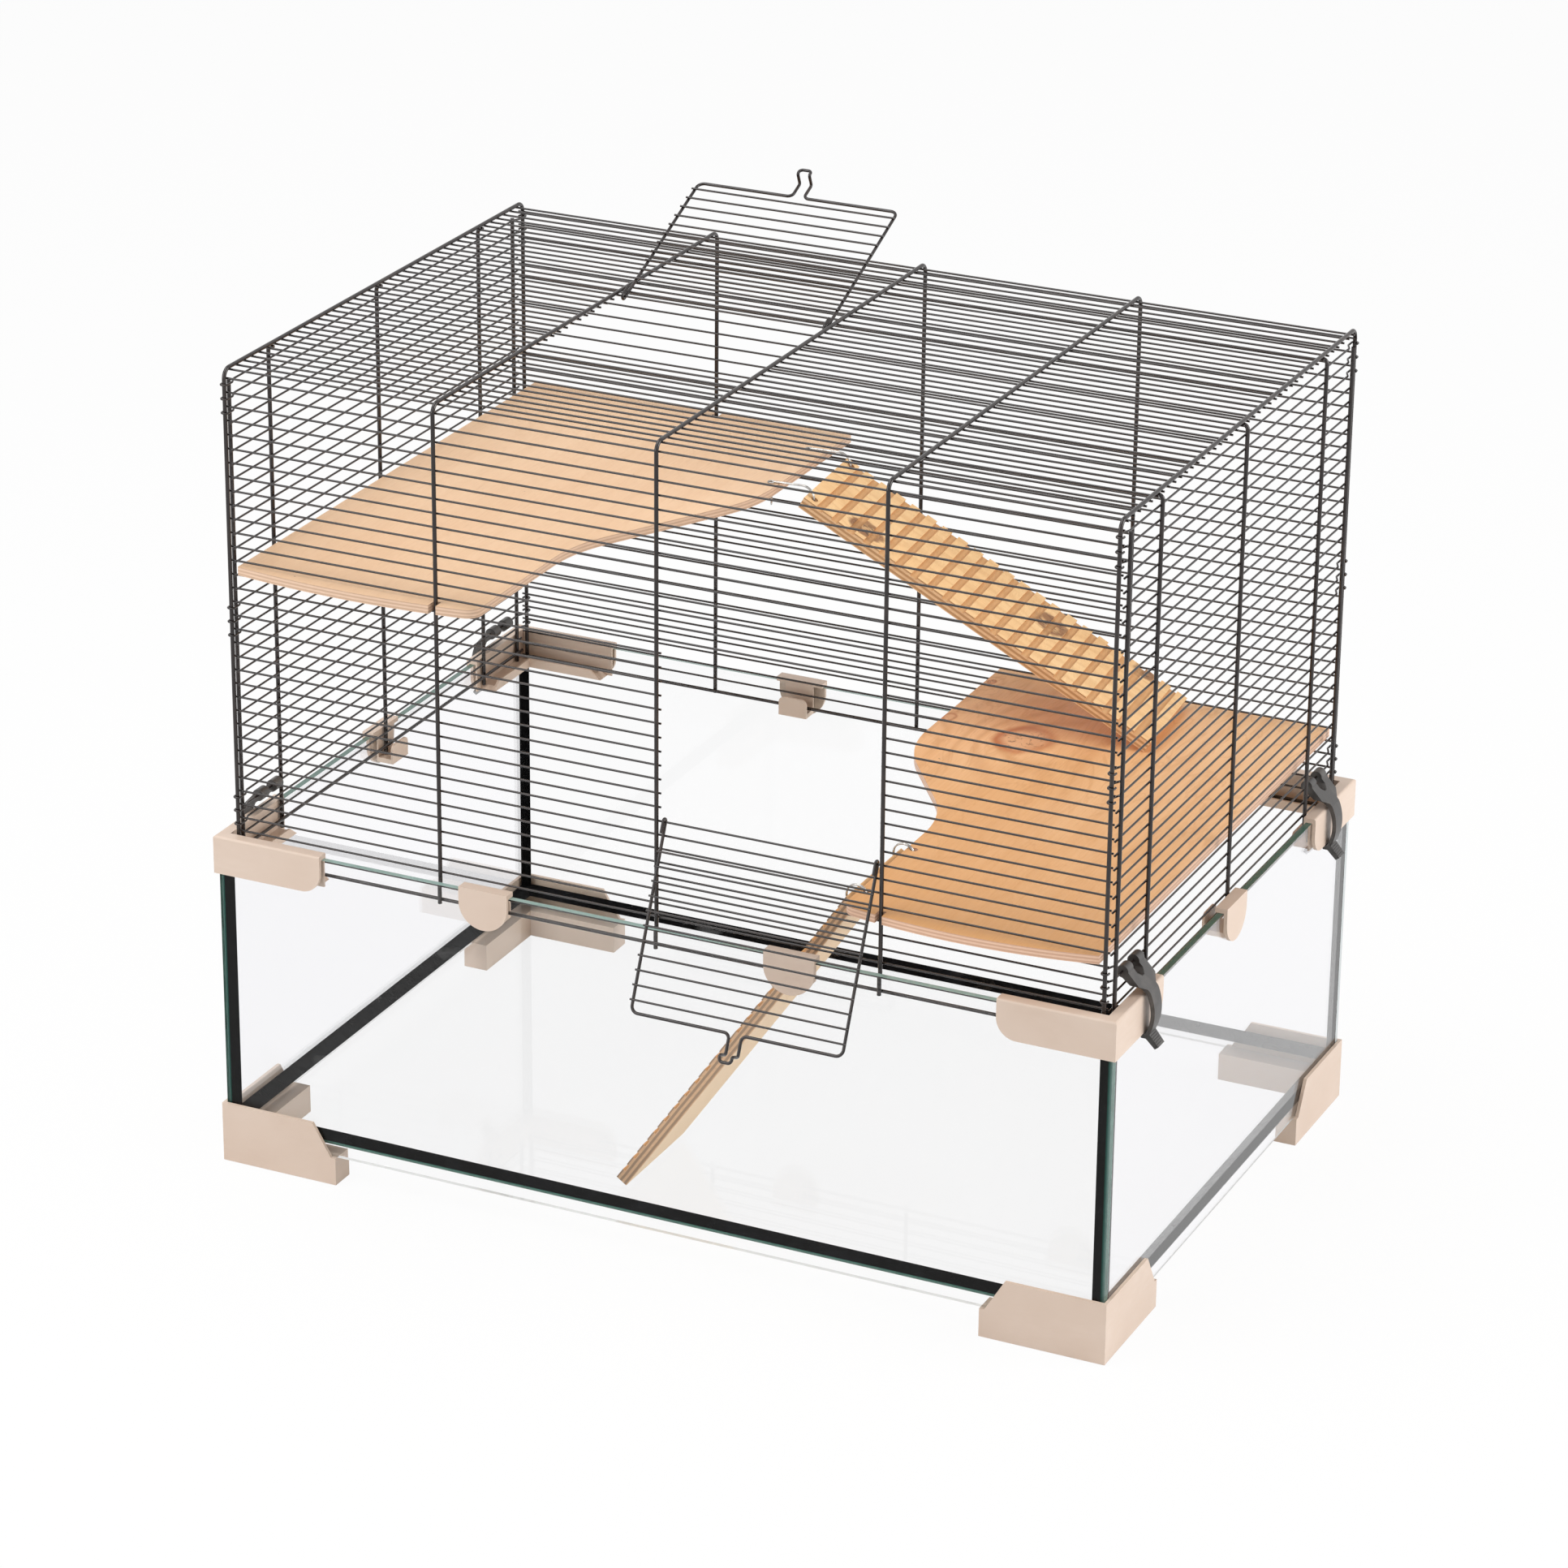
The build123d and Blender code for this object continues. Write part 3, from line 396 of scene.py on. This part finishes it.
# the two shelves: a sanded face veneer over plies that show at the sawn edge
palePly = {
    "pale": (0.925, 0.640, 0.415),
    "mid": (0.885, 0.590, 0.370),
    "vein": (0.70, 0.42, 0.235),
    "fleck": (0.30, 0.155, 0.075),
    "edgeLight": (0.82, 0.59, 0.435),
    "edgeDark": (0.63, 0.425, 0.29),
    "knotPale": (0.80, 0.50, 0.28),
    "knotRing": (0.50, 0.19, 0.06),
    "deep": (0.84, 0.55, 0.33),
    "ahead": 0.35,  # how much deeper the colour is made towards the front
    "plies": 5,
    "banding": 0.10,
    "curl": 0.12,
    "figure": 0.16,
    "roughness": (0.40, 0.58),
    "shine": 0.32,
}
knottyPly = {
    "pale": (0.915, 0.560, 0.295),
    "mid": (0.800, 0.420, 0.175),
    "vein": (0.60, 0.27, 0.092),
    "fleck": (0.26, 0.095, 0.03),
    "edgeLight": (0.86, 0.585, 0.425),
    "edgeDark": (0.66, 0.40, 0.27),
    "knotPale": (0.74, 0.395, 0.205),
    "knotRing": (0.50, 0.140, 0.026),
    "deep": (0.755, 0.385, 0.148),
    "ahead": 0.90,
    "plies": 5,
    "banding": 0.20,
    "curl": 0.30,
    "figure": 0.20,
    "roughness": (0.34, 0.50),
    "shine": 0.32,
}


def knotMasks(f, u, v, knots, wobble):
    # each knot is a place, its half length along u and half width along v, and how strong it is
    pull = core = ring = None
    for ku, kv, halfU, halfV, strength in knots:
        du = (u - ku) * (1 / halfU)
        dv = (v - kv) * (1 / halfV)
        reach = (du * du + dv * dv).maths("SQRT") + wobble
        near = f.grey(reach, 0.6, 4.2, strength, 0.0)
        heart = f.grey(reach, 0.72, 0.98, strength, 0.0)
        hoop = f.grey(abs(reach - 0.90), 0.04, 0.30, strength, 0.0)
        pull = near * near if pull is None else pull + near * near
        core = heart if core is None else core.maths("MAXIMUM", heart)
        ring = hoop if ring is None else ring.maths("MAXIMUM", hoop)
    return pull, core, ring


def plyEdges(f, height, plies, wood, scale):  # the sawn edge's layers, light and dark in turn
    wobble = f.grains(f.stretch(scale), 1.0, 2.0)
    layer = (height * plies + wobble * 0.22) % 2.0
    dark = f.grey(abs(layer - 1.0), 0.42, 0.55, 1.0, 0.0)
    cloud = f.grains(f.stretch((240.0, 240.0, 900.0)), 1.0, 3.0, 0.6)
    colour = f.blend(dark, wood["edgeLight"], wood["edgeDark"])
    return f.blend(f.grey(cloud, 0.35, 0.8, 0.0, 0.4), colour, wood["edgeDark"])


def plyFinish(name, wood, node, knots=()):
    f = Finish(name)
    low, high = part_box(node)
    origin = spot(0, 0, 0)
    x = f.along((1, 0, 0), origin)
    y = f.along((0, 1, 0), origin)
    drift = f.grains(f.stretch((7.0, 1.4, 7.0)), 1.0, 3.0, 0.55)
    wobble = (f.grains(f.place(), 60.0) - 0.5) * 0.5
    rings = x * 9.0 + drift * 1.3
    if knots:
        pull, core, ring = knotMasks(f, y, x, knots, wobble)
        rings = rings + pull * 0.42
    rings = f.grey((rings * 30.0).maths("SINE"), -1.0, 1.0)
    fibre = f.grains(f.stretch((820.0, 24.0, 820.0)), 1.0, 3.0, 0.6)
    dashes = f.grains(f.stretch((420.0, 60.0, 420.0)), 1.0, 2.0, 0.5)
    cloud = f.grains(f.stretch((13.0, 5.0, 13.0)), 1.0, 3.0, 0.55)
    patch = f.grains(f.place(), 9.0, 2.0)
    specks = f.grains(f.stretch((150.0, 95.0, 150.0)), 1.0, 1.0)
    curl = abs(f.grains(f.stretch((34.0, 9.0, 34.0)), 1.0, 3.0, 0.5, 2.2) - 0.5)
    colour = f.blend(f.grey(cloud, 0.32, 0.68), wood["mid"], wood["pale"])
    colour = f.blend(f.grey(patch, 0.5, 0.75, 0.0, 0.3), colour, wood["mid"])
    band = wood["banding"] + (pull.clamped() * 0.65 if knots else 0.0)
    colour = f.blend(rings ** 2.4 * band, colour, wood["vein"])
    colour = f.blend(f.grey(curl, 0.004, 0.035, wood["curl"], 0.0), colour, wood["vein"])
    toward = f.grey(y, -0.19, 0.05, wood["ahead"], 0.0)  # from the front edge to just past the middle
    colour = f.blend(toward, colour, wood["deep"])
    colour = f.blend(f.grey(fibre, 0.45, 0.75, 0.0, wood["figure"]), colour, wood["vein"])
    colour = f.blend(f.grey(dashes, 0.66, 0.74, 0.0, 0.30), colour, wood["vein"])
    colour = f.blend(f.grey(specks, 0.800, 0.83, 0.0, 0.8), colour, wood["fleck"])
    if knots:
        crack = f.grey(abs(f.grains(f.place(), 130.0, 2.0, 0.5, 0.8) - 0.5), 0.004, 0.022, 1.0, 0.0)
        lit = f.grey(x, knots[0][1] - 0.012, knots[0][1] + 0.020, 1.0, 0.45)
        colour = f.blend(core * 0.60, colour, wood["knotPale"])
        colour = f.blend(core * crack * 0.75, colour, wood["fleck"])
        colour = f.blend(ring * lit * 0.90, colour, wood["knotRing"])
    height = f.along((0, 0, 1), (0, 0, low[2])) * (1 / (high[2] - low[2]))
    ply = plyEdges(f, height, wood["plies"], wood, (60.0, 60.0, 260.0))
    colour = f.blend(f.facing((0, 0, 1)) < 0.6, colour, ply)
    lowRough, highRough = wood["roughness"]
    rough = f.grey(fibre, 0.3, 0.7, lowRough, highRough)
    relief = f.bump(fibre, 0.00012, 0.4)
    return f.done(f.body(Base_Color=colour, Roughness=rough, Normal=relief, Specular_IOR_Level=wood["shine"]))


# the ramps: knotty board with planed treads, sawn grooves and layered sides
rampWood = {
    "pale": (0.980, 0.665, 0.350),
    "mid": (0.940, 0.595, 0.290),
    "vein": (0.66, 0.345, 0.135),
    # the grooves' colour: the sawn wood's deeper tone, with painted shade of the recess in it
    "groove": (0.67, 0.375, 0.165),
    "edgeLight": (0.90, 0.60, 0.345),
    "edgeDark": (0.56, 0.300, 0.140),
    # painted light: the underside is painted paler, standing in for light bounced up from the floor
    "under": (1.0, 0.765, 0.535),
    "knot": (0.280, 0.125, 0.055),
    "knotRing": (0.43, 0.220, 0.100),
    "crack": (0.055, 0.032, 0.020),
    "plies": 5,
    "thickness": 0.008,
    "roughness": (0.44, 0.62),
    "shine": 0.28,
    "grooveFloor": 0.0018,  # heights over the board's middle
    "grooveShadeDepths": (0.0026, 0.0038),
    "underside": -0.0030,
}


def boardAxes(slope, turn, leftward):
    # down the board, across it and up from its walking face, at rest
    s, t = math.radians(slope), math.radians(turn)
    flat = Vector((math.cos(t), math.sin(t), 0))
    if leftward:
        flat = -flat
    down = flat * math.cos(s) + Vector((0, 0, -math.sin(s)))
    up = flat * math.sin(s) + Vector((0, 0, math.cos(s)))
    return down, up.cross(down), up


def rampFinish(name, start, axes, seed, wood, knots=()):
    down, across, up = axes
    f = Finish(name)
    u = f.along(down, start)
    v = f.along(across, start)
    w = f.along(up, start)
    board = f.join(u, v, w)
    shifted = board.vector("ADD", (seed, seed * 0.7, seed * 0.3))
    drift = f.grains(f.stretch((3.4, 24.0, 24.0), shifted), 1.0, 3.0, 0.55)
    wobble = (f.grains(f.stretch((90.0, 150.0, 90.0), shifted), 1.0, 3.0, 0.6) - 0.5) * 0.9
    rings = v * 40.0 + drift * 2.4
    if knots:
        pull, core, ring = knotMasks(f, u, v, knots, wobble)
        rings = rings + pull * 0.9
    rings = f.grey((rings * 13.0).maths("SINE"), -1.0, 1.0)
    fibre = f.grains(f.stretch((28.0, 1000.0, 1000.0), board), 1.0, 3.0, 0.6)
    cloud = f.grains(f.stretch((11.0, 34.0, 34.0), shifted))
    strip = f.grains(f.stretch((22.0, 95.0, 20.0), shifted), 1.0, 1.0)
    colour = f.blend(f.grey(cloud, 0.3, 0.7), wood["mid"], wood["pale"])
    colour = f.blend(f.grey(strip, 0.47, 0.56, 0.0, 0.55), colour, wood["mid"])
    colour = f.blend(rings ** 2.5 * 0.30, colour, wood["vein"])
    colour = f.blend(f.grey(fibre, 0.45, 0.75, 0.0, 0.30), colour, wood["vein"])
    if knots:
        split = f.grains(f.stretch((120.0, 260.0, 120.0), shifted), 1.0, 2.0, 0.5, 0.6)
        crack = f.grey(abs(split - 0.5), 0.01, 0.05, 1.0, 0.0)
        blot = f.grey(f.grains(f.stretch((95.0, 70.0, 1.0), shifted), 1.0, 2.0), 0.46, 0.54)
        colour = f.blend(core * 0.55, colour, wood["knotRing"])
        colour = f.blend(core * blot * 0.85, colour, wood["knot"])
        colour = f.blend(core * crack * 0.9, colour, wood["crack"])
        colour = f.blend(ring * f.grey(cloud, 0.35, 0.6, 0.7, 1.0), colour, wood["knot"])
    # painted shade: the grooves are painted darker towards their floor, over the sawn wood's own deeper tone
    deepest, shallow = wood["grooveShadeDepths"]
    sunk = f.grey(w, deepest, shallow, 1.0, 0.0) * (w > wood["grooveFloor"])
    colour = f.blend(sunk * 0.72, colour, wood["groove"])
    saw = f.grains(f.stretch((1300.0, 40.0, 40.0), board), 1.0, 2.0)
    colour = f.blend(sunk * f.grey(saw, 0.4, 0.7, 0.0, 0.3), colour, wood["vein"])
    layer = w * (1 / wood["thickness"]) + 0.5
    ply = plyEdges(f, layer, wood["plies"], wood, (120.0, 120.0, 120.0))
    side = f.facing(across) > 0.6
    tip = (f.facing(down) > 0.8) * (w < wood["grooveFloor"])
    colour = f.blend(side.maths("MAXIMUM", tip), colour, ply)
    # painted light: the board's underside is painted paler, as if lit from the floor below
    below = (f.facing(up) > 0.7) * (w < wood["underside"])
    colour = f.blend(below * 0.85, colour, wood["under"])
    low, high = wood["roughness"]
    rough = f.grey(fibre, 0.3, 0.7, low, high)
    relief = f.bump(saw * sunk, 0.00025, 0.4, f.bump(fibre, 0.0002, 0.5))
    return f.done(f.body(Base_Color=colour, Roughness=rough, Normal=relief, Specular_IOR_Level=wood["shine"]))


def dress(material, names):
    for name in names:
        mesh = nodes[name].data
        mesh.materials.clear()
        mesh.materials.append(material)


def family(*starts):
    return [name for name in nodes if name.startswith(starts)]


wireMaterial = wireFinish()
zincMaterial = zincFinish()
beigeMaterial = beigeFinish()
latchMaterial = latchFinish()

# knots: along the grain, across it, half length, half width, strength, all in metres
lowerKnots = (
    (0.0895, 0.1190, 0.0215, 0.0185, 1.0),
    (0.1026, 0.0609, 0.0070, 0.0045, 0.75),
    (0.1693, 0.0613, 0.0040, 0.0030, 0.9),
)
upperRampKnots = (
    (0.0450, -0.0260, 0.0115, 0.0090, 1.0),
    (0.1715, 0.0140, 0.0120, 0.0105, 1.0),
    (0.2365, 0.0345, 0.0080, 0.0065, 0.9),
)
upperTurn = 4.7  # degrees
lowerAxes = boardAxes(55.28, 0.0, True)
upperAxes = boardAxes(29.39, upperTurn, False)
lowerStart = spot(119.5, -131.0, 252.86)
upperStart = spot(-41.0, 124.2, 392.41)
hingeHalf = 0.0335  # from a ramp's middle to each ring or cane

latticeNames = ("hoop_", "front_wires", "back_wires", "roof_wires", "left_", "right_")
rimAndDoorNames = ("front_rim", "back_rim", "front_door", "roof_door")
dress(wireMaterial, family(*latticeNames, *rimAndDoorNames))
dress(zincMaterial, family("ramp_ring", "ramp_hook"))
dress(beigeMaterial, family("foot_", "rim_cap", "rim_clip"))
dress(latchMaterial, family("latch_"))
dress(siliconeFinish("Floor"), family("floor_silicone"))
dress(siliconeFinish("Corner"), family("corner_silicone"))
dress(glassFinish("Long", (0, 1, 0)), ("glass_front", "glass_back"))
dress(glassFinish("End", (1, 0, 0)), ("glass_left", "glass_right"))
dress(glassFinish("Floor", (0, 0, 1)), ("glass_floor",))
dress(plyFinish("palePly", palePly, "upper_shelf"), ("upper_shelf",))
dress(plyFinish("knottyPly", knottyPly, "lower_shelf", lowerKnots), ("lower_shelf",))
shadedWood = dict(rampWood, edgeLight=(0.74, 0.47, 0.28), edgeDark=(0.37, 0.235, 0.150))
dress(rampFinish("lowerRampWood", lowerStart, lowerAxes, 3.0, shadedWood), ("lower_ramp",))
dress(rampFinish("upperRampWood", upperStart, upperAxes, 8.0, rampWood, upperRampKnots), ("upper_ramp",))
print("finishes on")


def soften(names, width, segments=2):
    for name in names:
        bevel = nodes[name].modifiers.new("softEdges", "BEVEL")
        bevel.width = width
        bevel.segments = segments
        bevel.limit_method = "ANGLE"
        bevel.angle_limit = math.radians(40)
        bevel.harden_normals = False


soften(family("foot_", "rim_cap", "rim_clip"), 0.0007, 3)
soften(("upper_shelf", "lower_shelf"), 0.0008)
soften(("upper_ramp", "lower_ramp"), 0.0004)
soften(family("latch_"), 0.0005)
print("edges softened")


def hang(name, shape, material, body, slot, *stoodFor):  # a mesh built in bmesh, put on its body
    mesh = bpy.data.meshes.new(name)
    shape.to_mesh(mesh)
    shape.free()
    for face in mesh.polygons:
        face.use_smooth = True
    mesh.materials.append(material)
    piece = bpy.data.objects.new(name, mesh)
    bpy.context.scene.collection.objects.link(piece)
    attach(piece, body)
    if stoodFor:
        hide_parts(*stoodFor)


def addTube(shape, points, radius, sides, tips=0.45):
    # a round wire along points, with sides in a ring and domed tips
    count = len(points)
    lines = [(points[min(i + 1, count - 1)] - points[max(i - 1, 0)]).normalized() for i in range(count)]
    side = lines[0].orthogonal().normalized()
    rings = []
    for i, (point, line) in enumerate(zip(points, lines)):
        side = (side - line * side.dot(line)).normalized()
        other = line.cross(side)
        size = radius
        shift = Vector((0, 0, 0))
        if i in (0, count - 1):
            size = radius * tips
            shift = line * (radius * 0.5 if i else -radius * 0.5)
        turns = [2 * math.pi * k / sides for k in range(sides)]
        spokes = [(side * math.cos(a) + other * math.sin(a)) * size for a in turns]
        rings.append([shape.verts.new(point + shift + spoke) for spoke in spokes])
    for first, second in zip(rings, rings[1:]):
        for k in range(sides):
            shape.faces.new((first[k], first[(k + 1) % sides], second[(k + 1) % sides], second[k]))
    shape.faces.new(list(reversed(rings[0])))
    shape.faces.new(rings[-1])


# the lower ramp hangs on two split rings, each wire turned twice
splitRing = {
    "radius": 0.0068,
    "wire": 0.00052,
    "gap": 0.00108,
    "turns": 2.08,
    "steps": 110,
    "start": 160.0,
    "stepOver": (0.44, 0.12),  # where along the wire it starts, and over how much of it
}


def makeSplitRing(end, side):
    shape = bmesh.new()
    centre = lowerStart + Vector((0, side * hingeHalf, 0))
    radius = splitRing["radius"]
    begin, over = splitRing["stepOver"]
    points = []
    for step in range(splitRing["steps"] + 1):
        share = step / splitRing["steps"]
        angle = math.radians(splitRing["start"]) + share * splitRing["turns"] * 2 * math.pi
        climb = min(max((share - begin) / over, 0.0), 1.0)  # the wire steps over to its second turn
        drift = (climb * climb * (3 - 2 * climb) - 0.5) * splitRing["gap"]
        points.append(centre + Vector((radius * math.cos(angle), drift, radius * math.sin(angle))))
    addTube(shape, points, splitRing["wire"], 10)
    hang("splitRing_" + end, shape, zincMaterial, "cage", "bright_wire", "ramp_ring_" + end)


makeSplitRing("front", -1)
makeSplitRing("back", 1)

# the upper ramp hangs on two canes of doubled wire, each through a hole in the shelf
cane = {
    "wire": 0.00052,
    "gap": 0.00105,
    "bend": 0.008,
    "hole": 0.0205,
    "tail": 0.0155,
    "tailStep": 0.0015,
    "corner": 0.0022,
    "arc": 145.0,
    "eye": 0.0021,
    "eyeSink": 0.00045,
}


def makeCane(end, side):
    shape = bmesh.new()
    turned = math.radians(upperTurn)
    flat = Vector((math.cos(turned), math.sin(turned), 0))
    across = Vector((0, 0, 1)).cross(flat)
    middle = upperStart + across * side * hingeHalf
    rise = Vector((0, 0, 1))
    radius, hole, corner = cane["bend"], cane["hole"], cane["corner"]

    def strand(offset):
        path = [(-hole, radius - cane["tail"] + cane["tailStep"] * k) for k in range(9)]
        for k in range(6):
            turn = math.pi - math.pi / 2 * k / 5
            x = -hole + corner + corner * math.cos(turn)
            path.append((x, radius - corner + corner * math.sin(turn)))
        path += [(-hole + corner + (hole - corner) * k / 8, radius) for k in range(1, 9)]
        for k in range(1, 25):
            turn = math.radians(90 - cane["arc"] * k / 24)
            path.append((radius * math.cos(turn), radius * math.sin(turn)))
        return [middle + flat * x + rise * z + across * offset for x, z in path]

    addTube(shape, strand(-cane["gap"] / 2), cane["wire"], 8)
    addTube(shape, strand(cane["gap"] / 2), cane["wire"], 8)
    eye = middle - flat * hole + rise * (radius - cane["eyeSink"])
    turns = [math.radians(15 * k) for k in range(23)]
    loop = [eye + (flat * math.cos(a) + across * math.sin(a)) * cane["eye"] for a in turns]
    addTube(shape, loop, cane["wire"], 8)
    hang("rampCane_" + end, shape, zincMaterial, "cage", "bright_wire", "ramp_hook_" + end)


makeCane("front", -1)
makeCane("back", 1)
print("ramp rings and canes made")

# each latch has a few grip ribs across the outer face of its finger tab
grip = {
    "ribs": 5,
    "pitch": 0.00155,
    "rise": 0.00036,
    "width": 0.0082,
    "first": 0.0016,
    "slope": 51.0,
    "tabThickness": 0.003,
}


def makeGrip(name, sideways):
    low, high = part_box(name)
    shape = bmesh.new()
    s = math.radians(grip["slope"])
    out = Vector((sideways, 0, 0))
    down = out * math.cos(s) + Vector((0, 0, -math.sin(s)))  # along the tab to its tip
    lift = out * math.sin(s) + Vector((0, 0, math.cos(s)))
    reach = high[0] if sideways > 0 else low[0]
    tip = Vector((reach, (low[1] + high[1]) / 2, low[2] + grip["tabThickness"] * math.cos(s)))
    for k in range(grip["ribs"]):
        middle = tip - down * (grip["first"] + grip["pitch"] * k)
        half = grip["width"] / 2
        proud = lift * (grip["rise"] * 0.2)
        points = [middle + Vector((0, half * (t / 6 - 1), 0)) + proud for t in range(13)]
        addTube(shape, points, grip["rise"], 8)
    hang(name.replace("latch", "latchGrip"), shape, latchMaterial, name, "black_plastic")


for latch in family("latch_"):
    makeGrip(latch, 1 if "right" in latch else -1)
print("latch grips made")

studio = {
    "floorSize": 14.0,
    "floorDrop": 0.0004,
    "floorColour": (0.86, 0.86, 0.86),
    "floorWhite": 0.94,  # how much plain white the eye gets in place of the shaded floor
    "worldLevel": 0.50,
    "worldColour": (1.0, 0.995, 0.99),
    "aimHeight": 0.25,
}


def seenRays(f):
    kinds = ("Is Camera Ray", "Is Glossy Ray", "Is Transmission Ray")
    first, second, third = [f.node("ShaderNodeLightPath", out=kind) for kind in kinds]
    return (first + second + third).clamped()


def makeFloor():
    half = studio["floorSize"] / 2
    mesh = bpy.data.meshes.new("studioFloor")
    corners = [(-half, -half), (half, -half), (half, half), (-half, half)]
    mesh.from_pydata([(x, y, -studio["floorDrop"]) for x, y in corners], [], [(0, 1, 2, 3)])
    floor = bpy.data.objects.new("studioFloor", mesh)
    bpy.context.scene.collection.objects.link(floor)
    f = Finish("paleFloor")
    paper = f.node("ShaderNodeBsdfDiffuse", None, {0: studio["floorColour"]})
    white = f.node("ShaderNodeEmission", None, {0: (1.0, 1.0, 1.0), 1: 1.0})
    mesh.materials.append(f.done(f.mix(seenRays(f) * studio["floorWhite"], paper, white)))


def makeWorld():
    world = bpy.data.worlds.new("studioWorld")
    bpy.context.scene.world = world
    f = Finish("studioWorld", world)
    lit = f.node("ShaderNodeBackground", None, {0: studio["worldColour"], 1: studio["worldLevel"]})
    white = f.node("ShaderNodeBackground", None, {0: (1.0, 1.0, 1.0), 1: 1.0})
    f.done(f.mix(seenRays(f), lit, white), "ShaderNodeOutputWorld")


lampList = (  # name, place in metres, size, watts, colour
    ("rightSoftbox", (2.3, 0.55, 1.2), 1.6, 38.0, (1.0, 0.985, 0.97)),
    ("topSoftbox", (-0.65, -0.45, 2.3), 1.7, 26.0, (1.0, 0.99, 0.98)),
    ("leftSoftbox", (-1.25, -1.65, 1.1), 1.4, 14.0, (0.99, 0.99, 1.0)),
)


def makeLamps():
    for name, place, size, watts, colour in lampList:
        lamp = bpy.data.lights.new(name, "AREA")
        lamp.size = size
        lamp.energy = watts
        lamp.color = colour
        holder = bpy.data.objects.new(name, lamp)
        holder.location = Vector(place)
        aim = Vector((0, tankY, studio["aimHeight"])) - Vector(place)
        holder.rotation_euler = aim.to_track_quat("-Z", "Y").to_euler()
        bpy.context.scene.collection.objects.link(holder)


view = {  # places in millimetres from the tank's middle, the sensor and lens in millimetres
    "place": (1338.1, -2856.0, 1583.2),
    "target": (-6.1, 0.0, 237.3),
    "lens": 126.34,
    "sensor": 36.0,
    "roll": 0.543,
    "near": 0.05,
    "far": 60.0,
}


def makeCamera():
    lens = bpy.data.cameras.new("studioCamera")
    lens.lens = view["lens"]
    lens.sensor_width = view["sensor"]
    lens.clip_start = view["near"]
    lens.clip_end = view["far"]
    camera = bpy.data.objects.new("studioCamera", lens)
    bpy.context.scene.collection.objects.link(camera)
    place, target = spot(*view["place"]), spot(*view["target"])
    ahead = (target - place).normalized()
    side = ahead.cross(Vector((0, 0, 1))).normalized()
    top = side.cross(ahead)
    roll = math.radians(view["roll"])
    right = side * math.cos(roll) + top * math.sin(roll)
    up = top * math.cos(roll) - side * math.sin(roll)
    turn = Matrix((right, up, -ahead)).transposed()
    camera.matrix_world = Matrix.Translation(place) @ turn.to_4x4()
    bpy.context.scene.camera = camera


makeFloor()
makeWorld()
makeLamps()
makeCamera()
bpy.context.scene.view_settings.view_transform = "Standard"
print("stage, lamps and camera in place")
